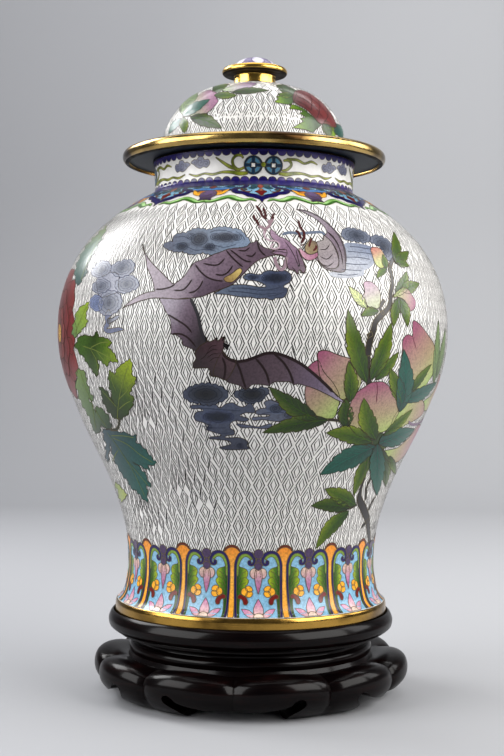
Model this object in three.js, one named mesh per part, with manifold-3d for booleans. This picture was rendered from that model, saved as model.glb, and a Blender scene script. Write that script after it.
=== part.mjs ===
// Covered ginger jar in wired enamel, with its lift-off lid and carved hardwood stand.
// Millimetres, +Z up, the front looks along -Y, the underside of the stand is z = 0.
import * as THREE from "three";
import { mergeVertices } from "three/addons/utils/BufferGeometryUtils.js";
import Module from "manifold-3d";

const wasm = await Module();
wasm.setup();
const { Manifold, Mesh: ManifoldMesh } = wasm;

// Heights of the jar, measured up from the underside of the stand
const FOOT_EDGE_Z = 51.6;
const WAIST_Z = 73.2;
const BELLY_Z = 200.0;
const NECK_BASE_Z = 272.8;
const NECK_TOP_Z = 291.3;

// Radii of the jar, outside
const FOOT_EDGE_R = 74.3;
const WAIST_R = 68.2;
const BELLY_R = 108.0;
const NECK_BASE_R = 59.1;
const NECK_R = 55.4;
const NECK_LIP_R = 56.4;
const NECK_LIP_H = 7.3;
const NECK_FILLET = 3.7;

// Walls, fits and facets
const WALL = 2.4;
const FLOOR_RISE = 5.0;
const FIT = 0.3;
const JAR_FACETS = 44;
const LID_FACETS = 36;
const KNOB_FACETS = 24;
const HOLE_FACETS = 12;
const MERGE_DISTANCE = 1e-4;

// Mouth ring, foot ring and the ring of the lid
const MOUTH_RING_H = 0.7;
const FOOT_RING_FLARE = 0.6;
const FOOT_RING_WALL = 5.0;
const FOOT_RING_BOTTOM_Z = 41.4;
const LID_RIM_R = 73.0;
const LID_RIM_H = 7.5;
const LID_RIM_WALL = 3.6;
const LID_RIM_ROUND = 2.2;

// Lid
const BRIM_DROP = 2.2;
const DOME_R = 51.3;
const DOME_H = 38.8;
const COLLAR_WALL = 1.2;
const COLLAR_DEPTH = 9.0;
const COLLAR_SLACK = 0.9;

// Knob
const STEM_R = 11.2;
const DISH_R = 18.2;
const DISH_UNDER_RISE = 4.6;
const DISH_H = 3.0;
const STEM_SKIRT = 0.6;
const BUTTON_R = 12.4;
const BUTTON_H = 7.2;
const PIN_HOLE_R = 0.7;
const PIN_HOLE_DEPTH = 2.0;
const PIN_HOLE_ANGLE = -102;

// Stand
const SEAT_Z = 41.1;
const SEAT_CLEAR = 0.8;
const SEAT_WALL_TOP_Z = 45.6;
const BULL_NOSE_R = 78.6;
const BULL_NOSE_Z = 40.2;
const BULL_NOSE_H = 9.6;
const BEAD_R = 72.6;
const STAND_WAIST_R = 63.8;
const STAND_WAIST_Z = 31.2;
const BULGE_R = 67.2;
const BULGE_Z = 25.6;
const LOBE_R = 87.2;
const LOBE_EDGE_Z = 14.5;
const LOBE_CROWN_Z = 24.4;
const STAND_FOOT_R = 71.5;
const NOTCH_DEPTH = 5.0;
const NOTCH_DROP = 4.6;
const LOBES = 10;
const STEPS_PER_LOBE = 6;
const NOTCH_ANGLE = -96;
const NOTCH_SHARPNESS = 0.62;
const UNDER_R = 60.0;
const UNDER_Z = 16.0;
const UNDER_ROUND = 1.5;
const ARCH_MID_Z = 6.0;
const ARCH_HEAD_Z = 12.8;
const ARCH_HALF_SPAN = 28.0;
const ARCH_REACH = 6.0;
const ARCH_HEAD_OUT = 7.0;

// Outline of the jar between its named sizes: [share of the height, share of the bulge]
const LOWER_SHAPE = [
  [0.063, 0.993], [0.145, 0.957], [0.235, 0.877], [0.33, 0.752], [0.43, 0.616],
  [0.53, 0.457], [0.633, 0.296], [0.737, 0.163], [0.842, 0.062], [0.93, 0.012],
];
const SHOULDER_SHAPE = [
  [0.117, 0.992], [0.254, 0.957], [0.393, 0.892], [0.53, 0.791], [0.67, 0.646],
  [0.81, 0.432], [0.905, 0.234], [0.955, 0.124],
];
const FOOT_SHAPE = [[0.27, 0.03], [0.52, 0.16], [0.76, 0.36], [0.9, 0.62]];
const DOME_SHAPE = [
  [0.268, 0.982], [0.438, 0.932], [0.57, 0.868], [0.7, 0.785], [0.8, 0.687],
  [0.885, 0.553], [0.95, 0.38], [0.985, 0.2],
];

const mix = (a, b, t) => a + (b - a) * t;

function latheMesh(points, facets) {
  const profile = points.map(([r, z]) => new THREE.Vector2(Math.max(r, 0), z));
  const geometry = new THREE.LatheGeometry(profile, facets);
  geometry.rotateX(Math.PI / 2);
  return geometry;
}

function jarOutline() {
  const lower = LOWER_SHAPE.map(([h, b]) => [mix(WAIST_R, BELLY_R, b), mix(BELLY_Z, WAIST_Z, h)]);
  const upper = SHOULDER_SHAPE.map(([h, b]) =>
    [mix(NECK_BASE_R, BELLY_R, b), mix(BELLY_Z, NECK_BASE_Z, h)]);
  const foot = FOOT_SHAPE.map(([h, b]) => [mix(WAIST_R, FOOT_EDGE_R, b), mix(WAIST_Z, FOOT_EDGE_Z, h)]);
  return [
    [FOOT_EDGE_R, FOOT_EDGE_Z], ...foot.reverse(), [WAIST_R, WAIST_Z], ...lower.reverse(),
    [BELLY_R, BELLY_Z], ...upper, [NECK_BASE_R, NECK_BASE_Z],
    [mix(NECK_BASE_R, NECK_R, 0.75), NECK_BASE_Z + NECK_FILLET * 0.5],
    [NECK_R, NECK_BASE_Z + NECK_FILLET], [NECK_R, NECK_TOP_Z - NECK_LIP_H],
    [NECK_LIP_R, NECK_TOP_Z],
  ];
}

// Points of the outline moved inward by the wall thickness, square to the wall
function insideOf(outline, wall) {
  return outline.map((point, i) => {
    const before = outline[Math.max(i - 1, 0)];
    const after = outline[Math.min(i + 1, outline.length - 1)];
    const dr = after[0] - before[0];
    const dz = after[1] - before[1];
    const length = Math.hypot(dr, dz);
    return [point[0] - (wall * dz) / length, point[1] + (wall * dr) / length];
  });
}

function jarBody() {
  const outline = jarOutline();
  const floorZ = FOOT_EDGE_Z + FLOOR_RISE;
  const inside = insideOf(outline, WALL)
    .filter(([, z], i) => z > floorZ + WALL && i % 2 === 1 && z < NECK_TOP_Z - WALL);
  const footInsideR = FOOT_EDGE_R - WALL;
  const points = [
    [0, floorZ], [inside[0][0] - WALL, floorZ], ...inside,
    [NECK_R - WALL, NECK_BASE_Z + NECK_FILLET], [NECK_R - WALL, NECK_TOP_Z],
    ...outline.slice().reverse(),
    [footInsideR, FOOT_EDGE_Z], [inside[0][0] - WALL, floorZ - WALL], [0, floorZ - WALL],
  ];
  return latheMesh(points.reverse(), JAR_FACETS);
}

// A closed ring: outline points run from the outer bottom corner up, over and down inside
function ringMesh(points, facets) {
  return latheMesh([...points, points[0]], facets);
}

function footRing() {
  const top = FOOT_EDGE_Z - FIT;
  const r = FOOT_EDGE_R;
  const bottom = FOOT_RING_BOTTOM_Z;
  const h = top - bottom;
  return ringMesh([
    [r, bottom], [r + FOOT_RING_FLARE, bottom + h * 0.25], [r + FOOT_RING_FLARE, bottom + h * 0.75],
    [r, top], [r - FOOT_RING_WALL, top], [r - FOOT_RING_WALL, bottom],
  ], JAR_FACETS);
}

function mouthRing() {
  const bottom = NECK_TOP_Z + FIT;
  const top = bottom + MOUTH_RING_H;
  const inner = NECK_R - WALL - FIT;
  return ringMesh([
    [NECK_LIP_R, bottom], [NECK_LIP_R, top - MOUTH_RING_H * 0.3],
    [NECK_LIP_R - MOUTH_RING_H * 0.3, top],
    [inner, top], [inner, bottom],
  ], LID_FACETS);
}

const BRIM_UNDER_Z = NECK_TOP_Z + FIT + MOUTH_RING_H + FIT;
const BRIM_TOP_Z = BRIM_UNDER_Z + WALL;
const RIM_BOTTOM_Z = BRIM_UNDER_Z - BRIM_DROP;
const DOME_BASE_Z = BRIM_TOP_Z + WALL * 1.2;
const DOME_TOP_Z = DOME_BASE_Z + DOME_H;

function domeOutline(radius, height, base) {
  return DOME_SHAPE.map(([h, b]) => [radius * b, base + height * h]);
}

function lidShell() {
  const brimR = LID_RIM_R - LID_RIM_WALL - FIT;
  const outside = [
    [brimR, BRIM_UNDER_Z], [brimR, BRIM_TOP_Z], [DOME_R + WALL * 1.2, BRIM_TOP_Z],
    [DOME_R, DOME_BASE_Z], ...domeOutline(DOME_R, DOME_H, DOME_BASE_Z), [0, DOME_TOP_Z],
  ];
  const innerR = DOME_R - WALL;
  const inside = domeOutline(innerR, DOME_H - WALL, DOME_BASE_Z).filter((_, i) => i % 2 === 1);
  return latheMesh([
    [0, DOME_TOP_Z - WALL], ...inside.reverse(), [innerR, DOME_BASE_Z],
    [innerR, BRIM_UNDER_Z], ...outside,
  ], LID_FACETS);
}

function lidRim() {
  const bottom = RIM_BOTTOM_Z;
  const top = bottom + LID_RIM_H;
  const outer = LID_RIM_R;
  const inner = LID_RIM_R - LID_RIM_WALL;
  return ringMesh([
    [outer - LID_RIM_ROUND, bottom], [outer, bottom + LID_RIM_ROUND],
    [outer, top - LID_RIM_ROUND], [outer - LID_RIM_ROUND, top],
    [inner, top], [inner, bottom],
  ], JAR_FACETS);
}

function lidCollar() {
  const outer = NECK_R - WALL - COLLAR_SLACK;
  const inner = outer - COLLAR_WALL;
  const top = BRIM_UNDER_Z - FIT;
  const bottom = top - COLLAR_DEPTH;
  return ringMesh([[outer, bottom], [outer, top], [inner, top], [inner, bottom]], LID_FACETS);
}

function knob() {
  const base = DOME_TOP_Z + FIT;
  const under = base + DISH_UNDER_RISE;
  const top = under + DISH_H;
  const geometry = latheMesh([
    [0, base], [STEM_R, base - STEM_SKIRT], [STEM_R * 0.97, base + DISH_UNDER_RISE * 0.5],
    [STEM_R, under - STEM_SKIRT],
    [DISH_R - DISH_H * 0.4, under], [DISH_R, under + DISH_H * 0.35],
    [DISH_R - DISH_H * 0.35, under + DISH_H * 0.75], [BUTTON_R + FIT * 2, top], [0, top],
  ], KNOB_FACETS);
  const hole = new THREE.CylinderGeometry(PIN_HOLE_R, PIN_HOLE_R, PIN_HOLE_DEPTH * 2, HOLE_FACETS);
  hole.rotateZ(Math.PI / 2);
  hole.translate(STEM_R, 0, base + DISH_UNDER_RISE * 0.62);
  hole.rotateZ(THREE.MathUtils.degToRad(PIN_HOLE_ANGLE));
  return subtract(geometry, [hole]);
}

function knobButton() {
  const base = DOME_TOP_Z + FIT + DISH_UNDER_RISE + DISH_H + FIT;
  return latheMesh([
    [0, base], [BUTTON_R, base], [BUTTON_R * 0.98, base + BUTTON_H * 0.2],
    [BUTTON_R * 0.82, base + BUTTON_H * 0.58], [BUTTON_R * 0.5, base + BUTTON_H * 0.88],
    [0, base + BUTTON_H],
  ], KNOB_FACETS);
}

// Round turned part of the stand, from the centre of the seat outward and down to the bulge
function standTurning() {
  const seatR = FOOT_EDGE_R + FOOT_RING_FLARE + SEAT_CLEAR;
  const noseIn = BULL_NOSE_R - BULL_NOSE_H * 0.3;
  const noseLow = BULL_NOSE_Z - BULL_NOSE_H * 0.5;
  return [
    [0, SEAT_Z], [seatR, SEAT_Z], [seatR, SEAT_WALL_TOP_Z],
    [noseIn, SEAT_WALL_TOP_Z - BULL_NOSE_H * 0.04], [BULL_NOSE_R, BULL_NOSE_Z + BULL_NOSE_H * 0.125],
    [BULL_NOSE_R, BULL_NOSE_Z - BULL_NOSE_H * 0.17], [noseIn, noseLow],
    [BEAD_R, noseLow - BULL_NOSE_H * 0.04], [BEAD_R, noseLow - BULL_NOSE_H * 0.25],
    [mix(STAND_WAIST_R, BEAD_R, 0.25), mix(STAND_WAIST_Z, noseLow, 0.33)],
    [STAND_WAIST_R, mix(STAND_WAIST_Z, BULGE_Z, 0.18)],
    [mix(BULGE_R, STAND_WAIST_R, 0.26), mix(BULGE_Z, STAND_WAIST_Z, 0.43)], [BULGE_R, BULGE_Z],
    [mix(BULGE_R, STAND_WAIST_R, 0.26), mix(BULGE_Z, LOBE_EDGE_Z, 0.23)],
  ];
}

// Lobed part: [radius, height, share of the notch in radius, share of the notch in height]
function standLobes() {
  return [
    [mix(BULGE_R, LOBE_R, 0.06), mix(LOBE_CROWN_Z, LOBE_EDGE_Z, 0.34), 0, 0],
    [mix(BULGE_R, LOBE_R, 0.3), mix(LOBE_CROWN_Z, LOBE_EDGE_Z, 0.08), 0, 0.5],
    [mix(BULGE_R, LOBE_R, 0.52), LOBE_CROWN_Z, 0.2, 1],
    [mix(BULGE_R, LOBE_R, 0.76), mix(LOBE_CROWN_Z, LOBE_EDGE_Z, 0.18), 0.6, 1],
    [mix(BULGE_R, LOBE_R, 0.94), mix(LOBE_EDGE_Z, LOBE_CROWN_Z, 0.42), 1, 0.6],
    [LOBE_R, LOBE_EDGE_Z, 1, 0.2],
    [mix(STAND_FOOT_R, LOBE_R, 0.9), LOBE_EDGE_Z * 0.64, 0.9, 0],
    [mix(STAND_FOOT_R, LOBE_R, 0.58), LOBE_EDGE_Z * 0.3, 0.6, 0],
    [mix(STAND_FOOT_R, LOBE_R, 0.2), LOBE_EDGE_Z * 0.07, 0.3, 0],
    [STAND_FOOT_R, 0, 0.2, 0],
  ];
}

// 0 at the bottom of a notch, 1 on the middle of a lobe
function lobeShare(step) {
  const turn = (step % STEPS_PER_LOBE) / STEPS_PER_LOBE;
  return Math.pow(Math.sin(Math.PI * turn), NOTCH_SHARPNESS);
}

// A closed solid swept round the axis, its section free to change with the angle
function sweptSolid(sectionAt, steps) {
  const rings = [];
  for (let i = 0; i < steps; i += 1) rings.push(sectionAt(i));
  const count = rings[0].length;
  const positions = [];
  const vertex = (i, j) => {
    const [r, z] = rings[i % steps][j];
    const angle = (i / steps) * Math.PI * 2 + THREE.MathUtils.degToRad(NOTCH_ANGLE);
    return [r * Math.cos(angle), r * Math.sin(angle), z];
  };
  const face = (a, b, c) => positions.push(...a, ...b, ...c);
  for (let i = 0; i < steps; i += 1) {
    for (let j = 0; j < count - 1; j += 1) {
      const a = vertex(i, j);
      const b = vertex(i, j + 1);
      const c = vertex(i + 1, j + 1);
      const d = vertex(i + 1, j);
      if (rings[i % steps][j + 1][0] > 0) face(a, b, c);
      if (rings[i % steps][j][0] > 0) face(a, c, d);
    }
  }
  const geometry = new THREE.BufferGeometry();
  geometry.setAttribute("position", new THREE.Float32BufferAttribute(positions, 3));
  return geometry;
}

// One opening between two feet, bent round the axis: a low arch with a round head at each side
function archCutter(angleDegrees) {
  const s = ARCH_HALF_SPAN;
  const low = ARCH_MID_Z;
  const top = ARCH_HEAD_Z;
  const out = ARCH_HEAD_OUT;
  const side = [
    [s, -ARCH_REACH], [s + out * 0.1, low * 0.45], [s + out * 0.6, low],
    [s + out, mix(low, top, 0.45)], [s + out * 0.94, mix(low, top, 0.86)], [s + out * 0.57, top],
    [s + out * 0.17, mix(low, top, 0.8)], [s - out * 0.14, mix(low, top, 0.5)],
    [s * 0.72, mix(low, top, 0.2)], [s * 0.4, low],
  ];
  const outline = [...side, ...side.map(([x, z]) => [-x, z]).reverse()];
  const shape = new THREE.Shape(outline.map(([x, z]) => new THREE.Vector2(x, z)));
  const inner = UNDER_R - ARCH_REACH;
  const depth = LOBE_R + ARCH_REACH - inner;
  const geometry = new THREE.ExtrudeGeometry(shape, { depth, bevelEnabled: false, steps: 1 });
  const positions = geometry.attributes.position;
  const middle = THREE.MathUtils.degToRad(angleDegrees);
  for (let i = 0; i < positions.count; i += 1) {
    const angle = middle + positions.getX(i) / ((STAND_FOOT_R + LOBE_R) / 2);
    const r = inner + positions.getZ(i);
    positions.setXYZ(i, r * Math.cos(angle), r * Math.sin(angle), positions.getY(i));
  }
  return geometry;
}

function stand() {
  const steps = LOBES * STEPS_PER_LOBE;
  const turning = standTurning();
  const solid = sweptSolid((step) => {
    const share = 1 - lobeShare(step);
    const lobes = standLobes().map(([r, z, inR, inZ]) =>
      [r - NOTCH_DEPTH * share * inR, z - NOTCH_DROP * share * inZ]);
    const under = [
      [UNDER_R + UNDER_ROUND, 0], [UNDER_R, UNDER_ROUND], [UNDER_R, UNDER_Z - UNDER_ROUND],
      [UNDER_R - UNDER_ROUND, UNDER_Z], [0, UNDER_Z],
    ];
    return [...turning, ...lobes, ...under];
  }, steps);
  const cutters = [];
  for (let i = 0; i < LOBES; i += 2) cutters.push(archCutter(NOTCH_ANGLE + (i * 360) / LOBES));
  return subtract(solid, cutters);
}

// A solid for cutting: shared vertices merged, and the empty faces at the axis left out
function toManifold(geometry) {
  const bare = new THREE.BufferGeometry();
  bare.setAttribute("position", geometry.attributes.position.clone());
  if (geometry.index) bare.setIndex(geometry.index.clone());
  const merged = mergeVertices(bare, MERGE_DISTANCE);
  const corners = merged.index.array;
  const triangles = [];
  for (let i = 0; i < corners.length; i += 3) {
    const [a, b, c] = corners.slice(i, i + 3);
    if (a !== b && b !== c && c !== a) triangles.push(a, b, c);
  }
  return new Manifold(new ManifoldMesh({
    numProp: 3, vertProperties: merged.attributes.position.array, triVerts: new Uint32Array(triangles),
  }));
}

function subtract(geometry, tools) {
  let solid = toManifold(geometry);
  for (const tool of tools) solid = solid.subtract(toManifold(tool));
  const mesh = solid.getMesh();
  const result = new THREE.BufferGeometry();
  result.setAttribute("position", new THREE.Float32BufferAttribute(mesh.vertProperties, 3));
  result.setIndex(Array.from(mesh.triVerts));
  return result;
}

function node(name, geometry, color, metalness, roughness) {
  const material = new THREE.MeshStandardMaterial({ color, metalness, roughness });
  material.name = `${name}_material`;
  const mesh = new THREE.Mesh(geometry, material);
  mesh.name = name;
  return mesh;
}

const GILT = 0xb8913c;
const group = new THREE.Group();
group.name = "ginger_jar";
group.add(
  node("jar_body", jarBody(), 0xe6e4e0, 0.0, 0.25),
  node("foot_ring", footRing(), GILT, 1.0, 0.3),
  node("mouth_ring", mouthRing(), GILT, 1.0, 0.3),
  node("lid_shell", lidShell(), 0xe6e4e0, 0.0, 0.25),
  node("lid_rim", lidRim(), GILT, 1.0, 0.3),
  node("lid_collar", lidCollar(), GILT, 1.0, 0.35),
  node("knob", knob(), GILT, 1.0, 0.25),
  node("knob_button", knobButton(), 0xdcdce2, 0.0, 0.25),
  node("stand", stand(), 0x24100c, 0.0, 0.3),
);

export default group;
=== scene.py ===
# Covered ginger jar in wired enamel, with gilt rings and a carved hardwood stand
import math
import random

import bmesh
import bpy
import numpy as np
from mathutils import Matrix, Vector
from mathutils.geometry import delaunay_2d_cdt


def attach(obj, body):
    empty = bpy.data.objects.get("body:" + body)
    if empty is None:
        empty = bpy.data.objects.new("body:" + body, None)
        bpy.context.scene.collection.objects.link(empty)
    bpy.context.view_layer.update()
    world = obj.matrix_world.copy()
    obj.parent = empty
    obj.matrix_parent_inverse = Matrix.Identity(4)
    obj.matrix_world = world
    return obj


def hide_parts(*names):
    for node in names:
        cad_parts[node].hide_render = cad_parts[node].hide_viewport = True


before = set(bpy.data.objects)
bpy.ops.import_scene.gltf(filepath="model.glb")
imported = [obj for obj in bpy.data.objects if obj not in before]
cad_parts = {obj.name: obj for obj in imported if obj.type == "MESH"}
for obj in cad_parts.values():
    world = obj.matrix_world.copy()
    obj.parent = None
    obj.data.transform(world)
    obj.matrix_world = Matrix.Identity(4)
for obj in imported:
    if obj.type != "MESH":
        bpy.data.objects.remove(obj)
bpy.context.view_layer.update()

MM = 0.001
BODY = "root"

# Jar: heights above the underside of the stand and outside radii, in millimetres
FOOT_EDGE_Z, WAIST_Z, BELLY_Z, NECK_BASE_Z, NECK_TOP_Z = 51.6, 73.2, 200.0, 272.8, 291.3
FOOT_EDGE_R, WAIST_R, BELLY_R, NECK_BASE_R, NECK_R, NECK_LIP_R = 74.3, 68.2, 108.0, 59.1, 55.4, 56.4
NECK_LIP_H, NECK_FILLET = 7.3, 3.7
WALL, FLOOR_RISE, FIT = 2.4, 5.0, 0.3
LOWER_SHAPE = [
    (0.063, 0.993), (0.145, 0.957), (0.235, 0.877), (0.33, 0.752), (0.43, 0.616), (0.53, 0.457),
    (0.633, 0.296), (0.737, 0.163), (0.842, 0.062), (0.93, 0.012),
]
SHOULDER_SHAPE = [
    (0.117, 0.992), (0.254, 0.957), (0.393, 0.892), (0.53, 0.791), (0.67, 0.646), (0.81, 0.432),
    (0.905, 0.234), (0.955, 0.124),
]
FOOT_SHAPE = [(0.27, 0.03), (0.52, 0.16), (0.76, 0.36), (0.9, 0.62)]
DOME_SHAPE = [
    (0.268, 0.982), (0.438, 0.932), (0.57, 0.868), (0.7, 0.785), (0.8, 0.687), (0.885, 0.553), (0.95, 0.38),
    (0.985, 0.2),
]

# Rings and lid
MOUTH_RING_H = 0.7
FOOT_RING_FLARE, FOOT_RING_WALL, FOOT_RING_BOTTOM_Z = 0.6, 5.0, 41.4
LID_RIM_R, LID_RIM_H, LID_RIM_WALL = 73.0, 7.5, 3.6
BRIM_DROP, DOME_R, DOME_H = 2.2, 51.3, 38.8
BRIM_UNDER_Z = NECK_TOP_Z + FIT + MOUTH_RING_H + FIT
BRIM_TOP_Z = BRIM_UNDER_Z + WALL
DOME_BASE_Z = BRIM_TOP_Z + WALL * 1.2
DOME_TOP_Z = DOME_BASE_Z + DOME_H
RIM_ROUND, RIM_LIFT = 3.1, 0.8
KNOB_BASE_Z = DOME_TOP_Z + FIT
STEM_R, DISH_R, DISH_UNDER_RISE, DISH_H, STEM_SKIRT = 11.2, 18.2, 4.6, 3.0, 0.6
BUTTON_R, BUTTON_H = 12.4, 7.2
PIN_HOLE_R, PIN_HOLE_ANGLE, PIN_HOLE_DEPTH, PIN_HOLE_RISE = 0.7, -12.0, 5.0, 3.0
COLLAR_H, COLLAR_WALL, COLLAR_CLEAR = 9.0, 1.2, 0.9

# Stand
SEAT_Z, SEAT_CLEAR, SEAT_WALL_TOP_Z = 41.1, 0.8, 45.6
BULL_NOSE_R, BULL_NOSE_Z, BULL_NOSE_H, BEAD_R = 78.6, 40.2, 9.6, 72.6
STAND_WAIST_R, STAND_WAIST_Z, BULGE_R, BULGE_Z = 63.8, 31.2, 67.2, 25.6
LOBE_R, LOBE_EDGE_Z, LOBE_CROWN_Z, STAND_FOOT_R = 87.2, 14.5, 24.4, 71.5
NOTCH_DEPTH, NOTCH_DROP, LOBES, NOTCH_ANGLE, NOTCH_SHARPNESS = 5.0, 4.6, 10, -6.0, 0.62
UNDER_R, UNDER_Z, UNDER_ROUND, LOBE_STEPS = 60.0, 16.0, 1.5, 20
ARCH_MID_Z, ARCH_HEAD_Z, ARCH_HALF_SPAN, ARCH_REACH, ARCH_HEAD_OUT = 6.0, 12.8, 28.0, 6.0, 7.0

# The enamel skin lies a little inside the solid, so that wires and pictures stay within it
SKIN = 0.42
LIFT = 0.045
TURN_STEPS, KNOB_STEPS, MERGE = 240, 96, 2e-6


def mix(a, b, t):
    return a + (b - a) * t


def spline(a, b, c, d, t):
    """A point of the curve that runs from b to c, with a before them and d after."""
    return tuple(0.5 * (2 * b + (c - a) * t + (2 * a - 5 * b + 4 * c - d) * t * t
                        + (3 * b - a - 3 * c + d) * t ** 3))


def smooth_line(points, per=8):
    """A curve through the points, as a list of points."""
    made = []
    for i in range(len(points) - 1):
        p = [np.array(points[max(0, min(len(points) - 1, i + k))], float) for k in (-1, 0, 1, 2)]
        made += [spline(*p, j / per) for j in range(per)]
    return made + [tuple(points[-1])]


def offset_line(line, inward):
    """The same profile moved towards the axis side by a distance."""
    made = []
    for i, (r, z) in enumerate(line):
        before, after = line[max(i - 1, 0)], line[min(i + 1, len(line) - 1)]
        dr, dz = after[0] - before[0], after[1] - before[1]
        size = math.hypot(dr, dz)
        made.append((max(0.0, r - inward * dz / size), z + inward * dr / size))
    return made


def jar_line():
    foot = [(mix(WAIST_R, FOOT_EDGE_R, b), mix(WAIST_Z, FOOT_EDGE_Z, h)) for h, b in reversed(FOOT_SHAPE)]
    lower = [(mix(WAIST_R, BELLY_R, b), mix(BELLY_Z, WAIST_Z, h)) for h, b in reversed(LOWER_SHAPE)]
    upper = [(mix(NECK_BASE_R, BELLY_R, b), mix(BELLY_Z, NECK_BASE_Z, h)) for h, b in SHOULDER_SHAPE]
    wall = smooth_line([(FOOT_EDGE_R, FOOT_EDGE_Z)] + foot + [(WAIST_R, WAIST_Z)] + lower
                       + [(BELLY_R, BELLY_Z)] + upper + [(NECK_BASE_R, NECK_BASE_Z)])
    neck = smooth_line([(NECK_BASE_R, NECK_BASE_Z), (mix(NECK_BASE_R, NECK_R, 0.75),
                                                     NECK_BASE_Z + NECK_FILLET * 0.5),
                        (NECK_R, NECK_BASE_Z + NECK_FILLET), (NECK_R, NECK_TOP_Z - NECK_LIP_H),
                        (NECK_LIP_R, NECK_TOP_Z)], 4)
    return wall[:-1] + neck


def dome_line():
    points = [(DOME_R, DOME_BASE_Z)] + [(DOME_R * b, DOME_BASE_Z + DOME_H * h) for h, b in DOME_SHAPE]
    return smooth_line(points + [(0.001, DOME_TOP_Z)], 6)


def button_line():
    low = KNOB_BASE_Z + DISH_UNDER_RISE + DISH_H + FIT * 0.3
    return smooth_line([(BUTTON_R, low), (BUTTON_R - 0.15, low + 1.4),
                        (BUTTON_R * 0.84, low + BUTTON_H * 0.56), (BUTTON_R * 0.5, low + BUTTON_H * 0.87),
                        (0.001, low + BUTTON_H - 0.1)], 6)


# Colours and materials

def light(colour):
    """Screen colour, 0 to 255, as scene light."""
    return tuple(((c / 255 + 0.055) / 1.055) ** 2.4 if c > 10 else c / 255 / 12.92 for c in colour)


def new_material(name):
    material = bpy.data.materials.new(name)
    material.use_nodes = True
    nodes = material.node_tree.nodes
    return material, nodes, material.node_tree.links, nodes["Principled BSDF"]


# Grain of each finish: scale, detail and, where it is drawn out, its scale along each axis
GRAINS = {
    "mottle": (260, 5), "orange_peel": (90, 2), "enamel_grains": (900, 4), "enamel_pits": (120, 2),
    "gilt_patches": (34, 6, (1, 1, 1.6)), "gilt_rubbing": (120, 4), "turning_lines": (60, 4, (1, 1, 14)),
    "wood_grain": (70, 6, (1, 1, 9)), "wood_pores": (160, 4, (1, 1, 7)),
}


def object_noise(nodes, links, grain):
    scale, detail, *drawn = GRAINS[grain]
    place = nodes.new("ShaderNodeTexCoord")
    mapping = nodes.new("ShaderNodeMapping")
    mapping.inputs["Scale"].default_value = drawn[0] if drawn else (1, 1, 1)
    noise = nodes.new("ShaderNodeTexNoise")
    noise.inputs["Scale"].default_value = scale
    noise.inputs["Detail"].default_value = detail
    links.new(place.outputs["Object"], mapping.inputs["Vector"])
    links.new(mapping.outputs["Vector"], noise.inputs["Vector"])
    return noise.outputs["Fac"]


def ramp(nodes, links, value, stops):
    node = nodes.new("ShaderNodeValToRGB")
    elements = node.color_ramp.elements
    while len(elements) < len(stops):
        elements.new(0.5)
    for element, (at, colour) in zip(elements, stops):
        element.position = at
        element.color = (*colour, 1.0) if len(colour) == 3 else colour
    links.new(value, node.inputs["Fac"])
    return node.outputs["Color"]


FINISH = {"rough": "Roughness", "gloss": "Specular IOR Level", "coat": "Coat Weight",
          "coat_rough": "Coat Roughness", "metal": "Metallic"}
POLISH = 0.14


def finish(shader, **values):
    for name, value in values.items():
        shader.inputs[FINISH[name]].default_value = value


def drawn_tone(nodes):
    """The tone that the drawing gives to each point."""
    node = nodes.new("ShaderNodeAttribute")
    node.attribute_name = "tone"
    return node.outputs["Color"]


def bump(nodes, links, shader, height, distance, strength=0.5):
    node = nodes.new("ShaderNodeBump")
    node.inputs["Distance"].default_value = distance
    node.inputs["Strength"].default_value = strength
    links.new(height, node.inputs["Height"])
    links.new(node.outputs["Normal"], shader.inputs["Normal"])


def grey(v):
    return (v, v, v)


def enamel(name, colour, mottle=0.06, rough=0.3, gloss=0.4):
    """Fired and polished enamel: small cloudy changes of tone and a faint orange-peel."""
    material, nodes, links, shader = new_material(name)
    base = light(colour)
    dark = tuple(c * (1 - mottle * 2) for c in base)
    clouds = object_noise(nodes, links, "mottle")
    links.new(ramp(nodes, links, clouds, [(0.3, dark), (0.62, base)]), shader.inputs["Base Color"])
    finish(shader, rough=rough, gloss=gloss, coat=gloss * 0.7, coat_rough=POLISH)
    bump(nodes, links, shader, object_noise(nodes, links, "orange_peel"), 0.00012)
    return material


def painted_enamel(name):
    """Coloured enamels: the tone comes from the drawing, broken by grains and pits."""
    material, nodes, links, shader = new_material(name)
    grains = object_noise(nodes, links, "enamel_grains")
    shade = ramp(nodes, links, grains, [(0.32, grey(0.72)), (0.5, grey(1.0)), (0.75, grey(1.25))])
    mixing = nodes.new("ShaderNodeMixRGB")
    mixing.blend_type = "MULTIPLY"
    mixing.inputs["Fac"].default_value = 1.0
    links.new(drawn_tone(nodes), mixing.inputs["Color1"])
    links.new(shade, mixing.inputs["Color2"])
    links.new(mixing.outputs["Color"], shader.inputs["Base Color"])
    finish(shader, rough=0.3, gloss=0.3, coat=0.25, coat_rough=POLISH)
    bump(nodes, links, shader, object_noise(nodes, links, "enamel_pits"), 0.0001)
    return material


def wire_metal(name):
    material, nodes, links, shader = new_material(name)
    links.new(drawn_tone(nodes), shader.inputs["Base Color"])
    finish(shader, metal=0.3, rough=0.45, gloss=0.25)
    return material


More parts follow.
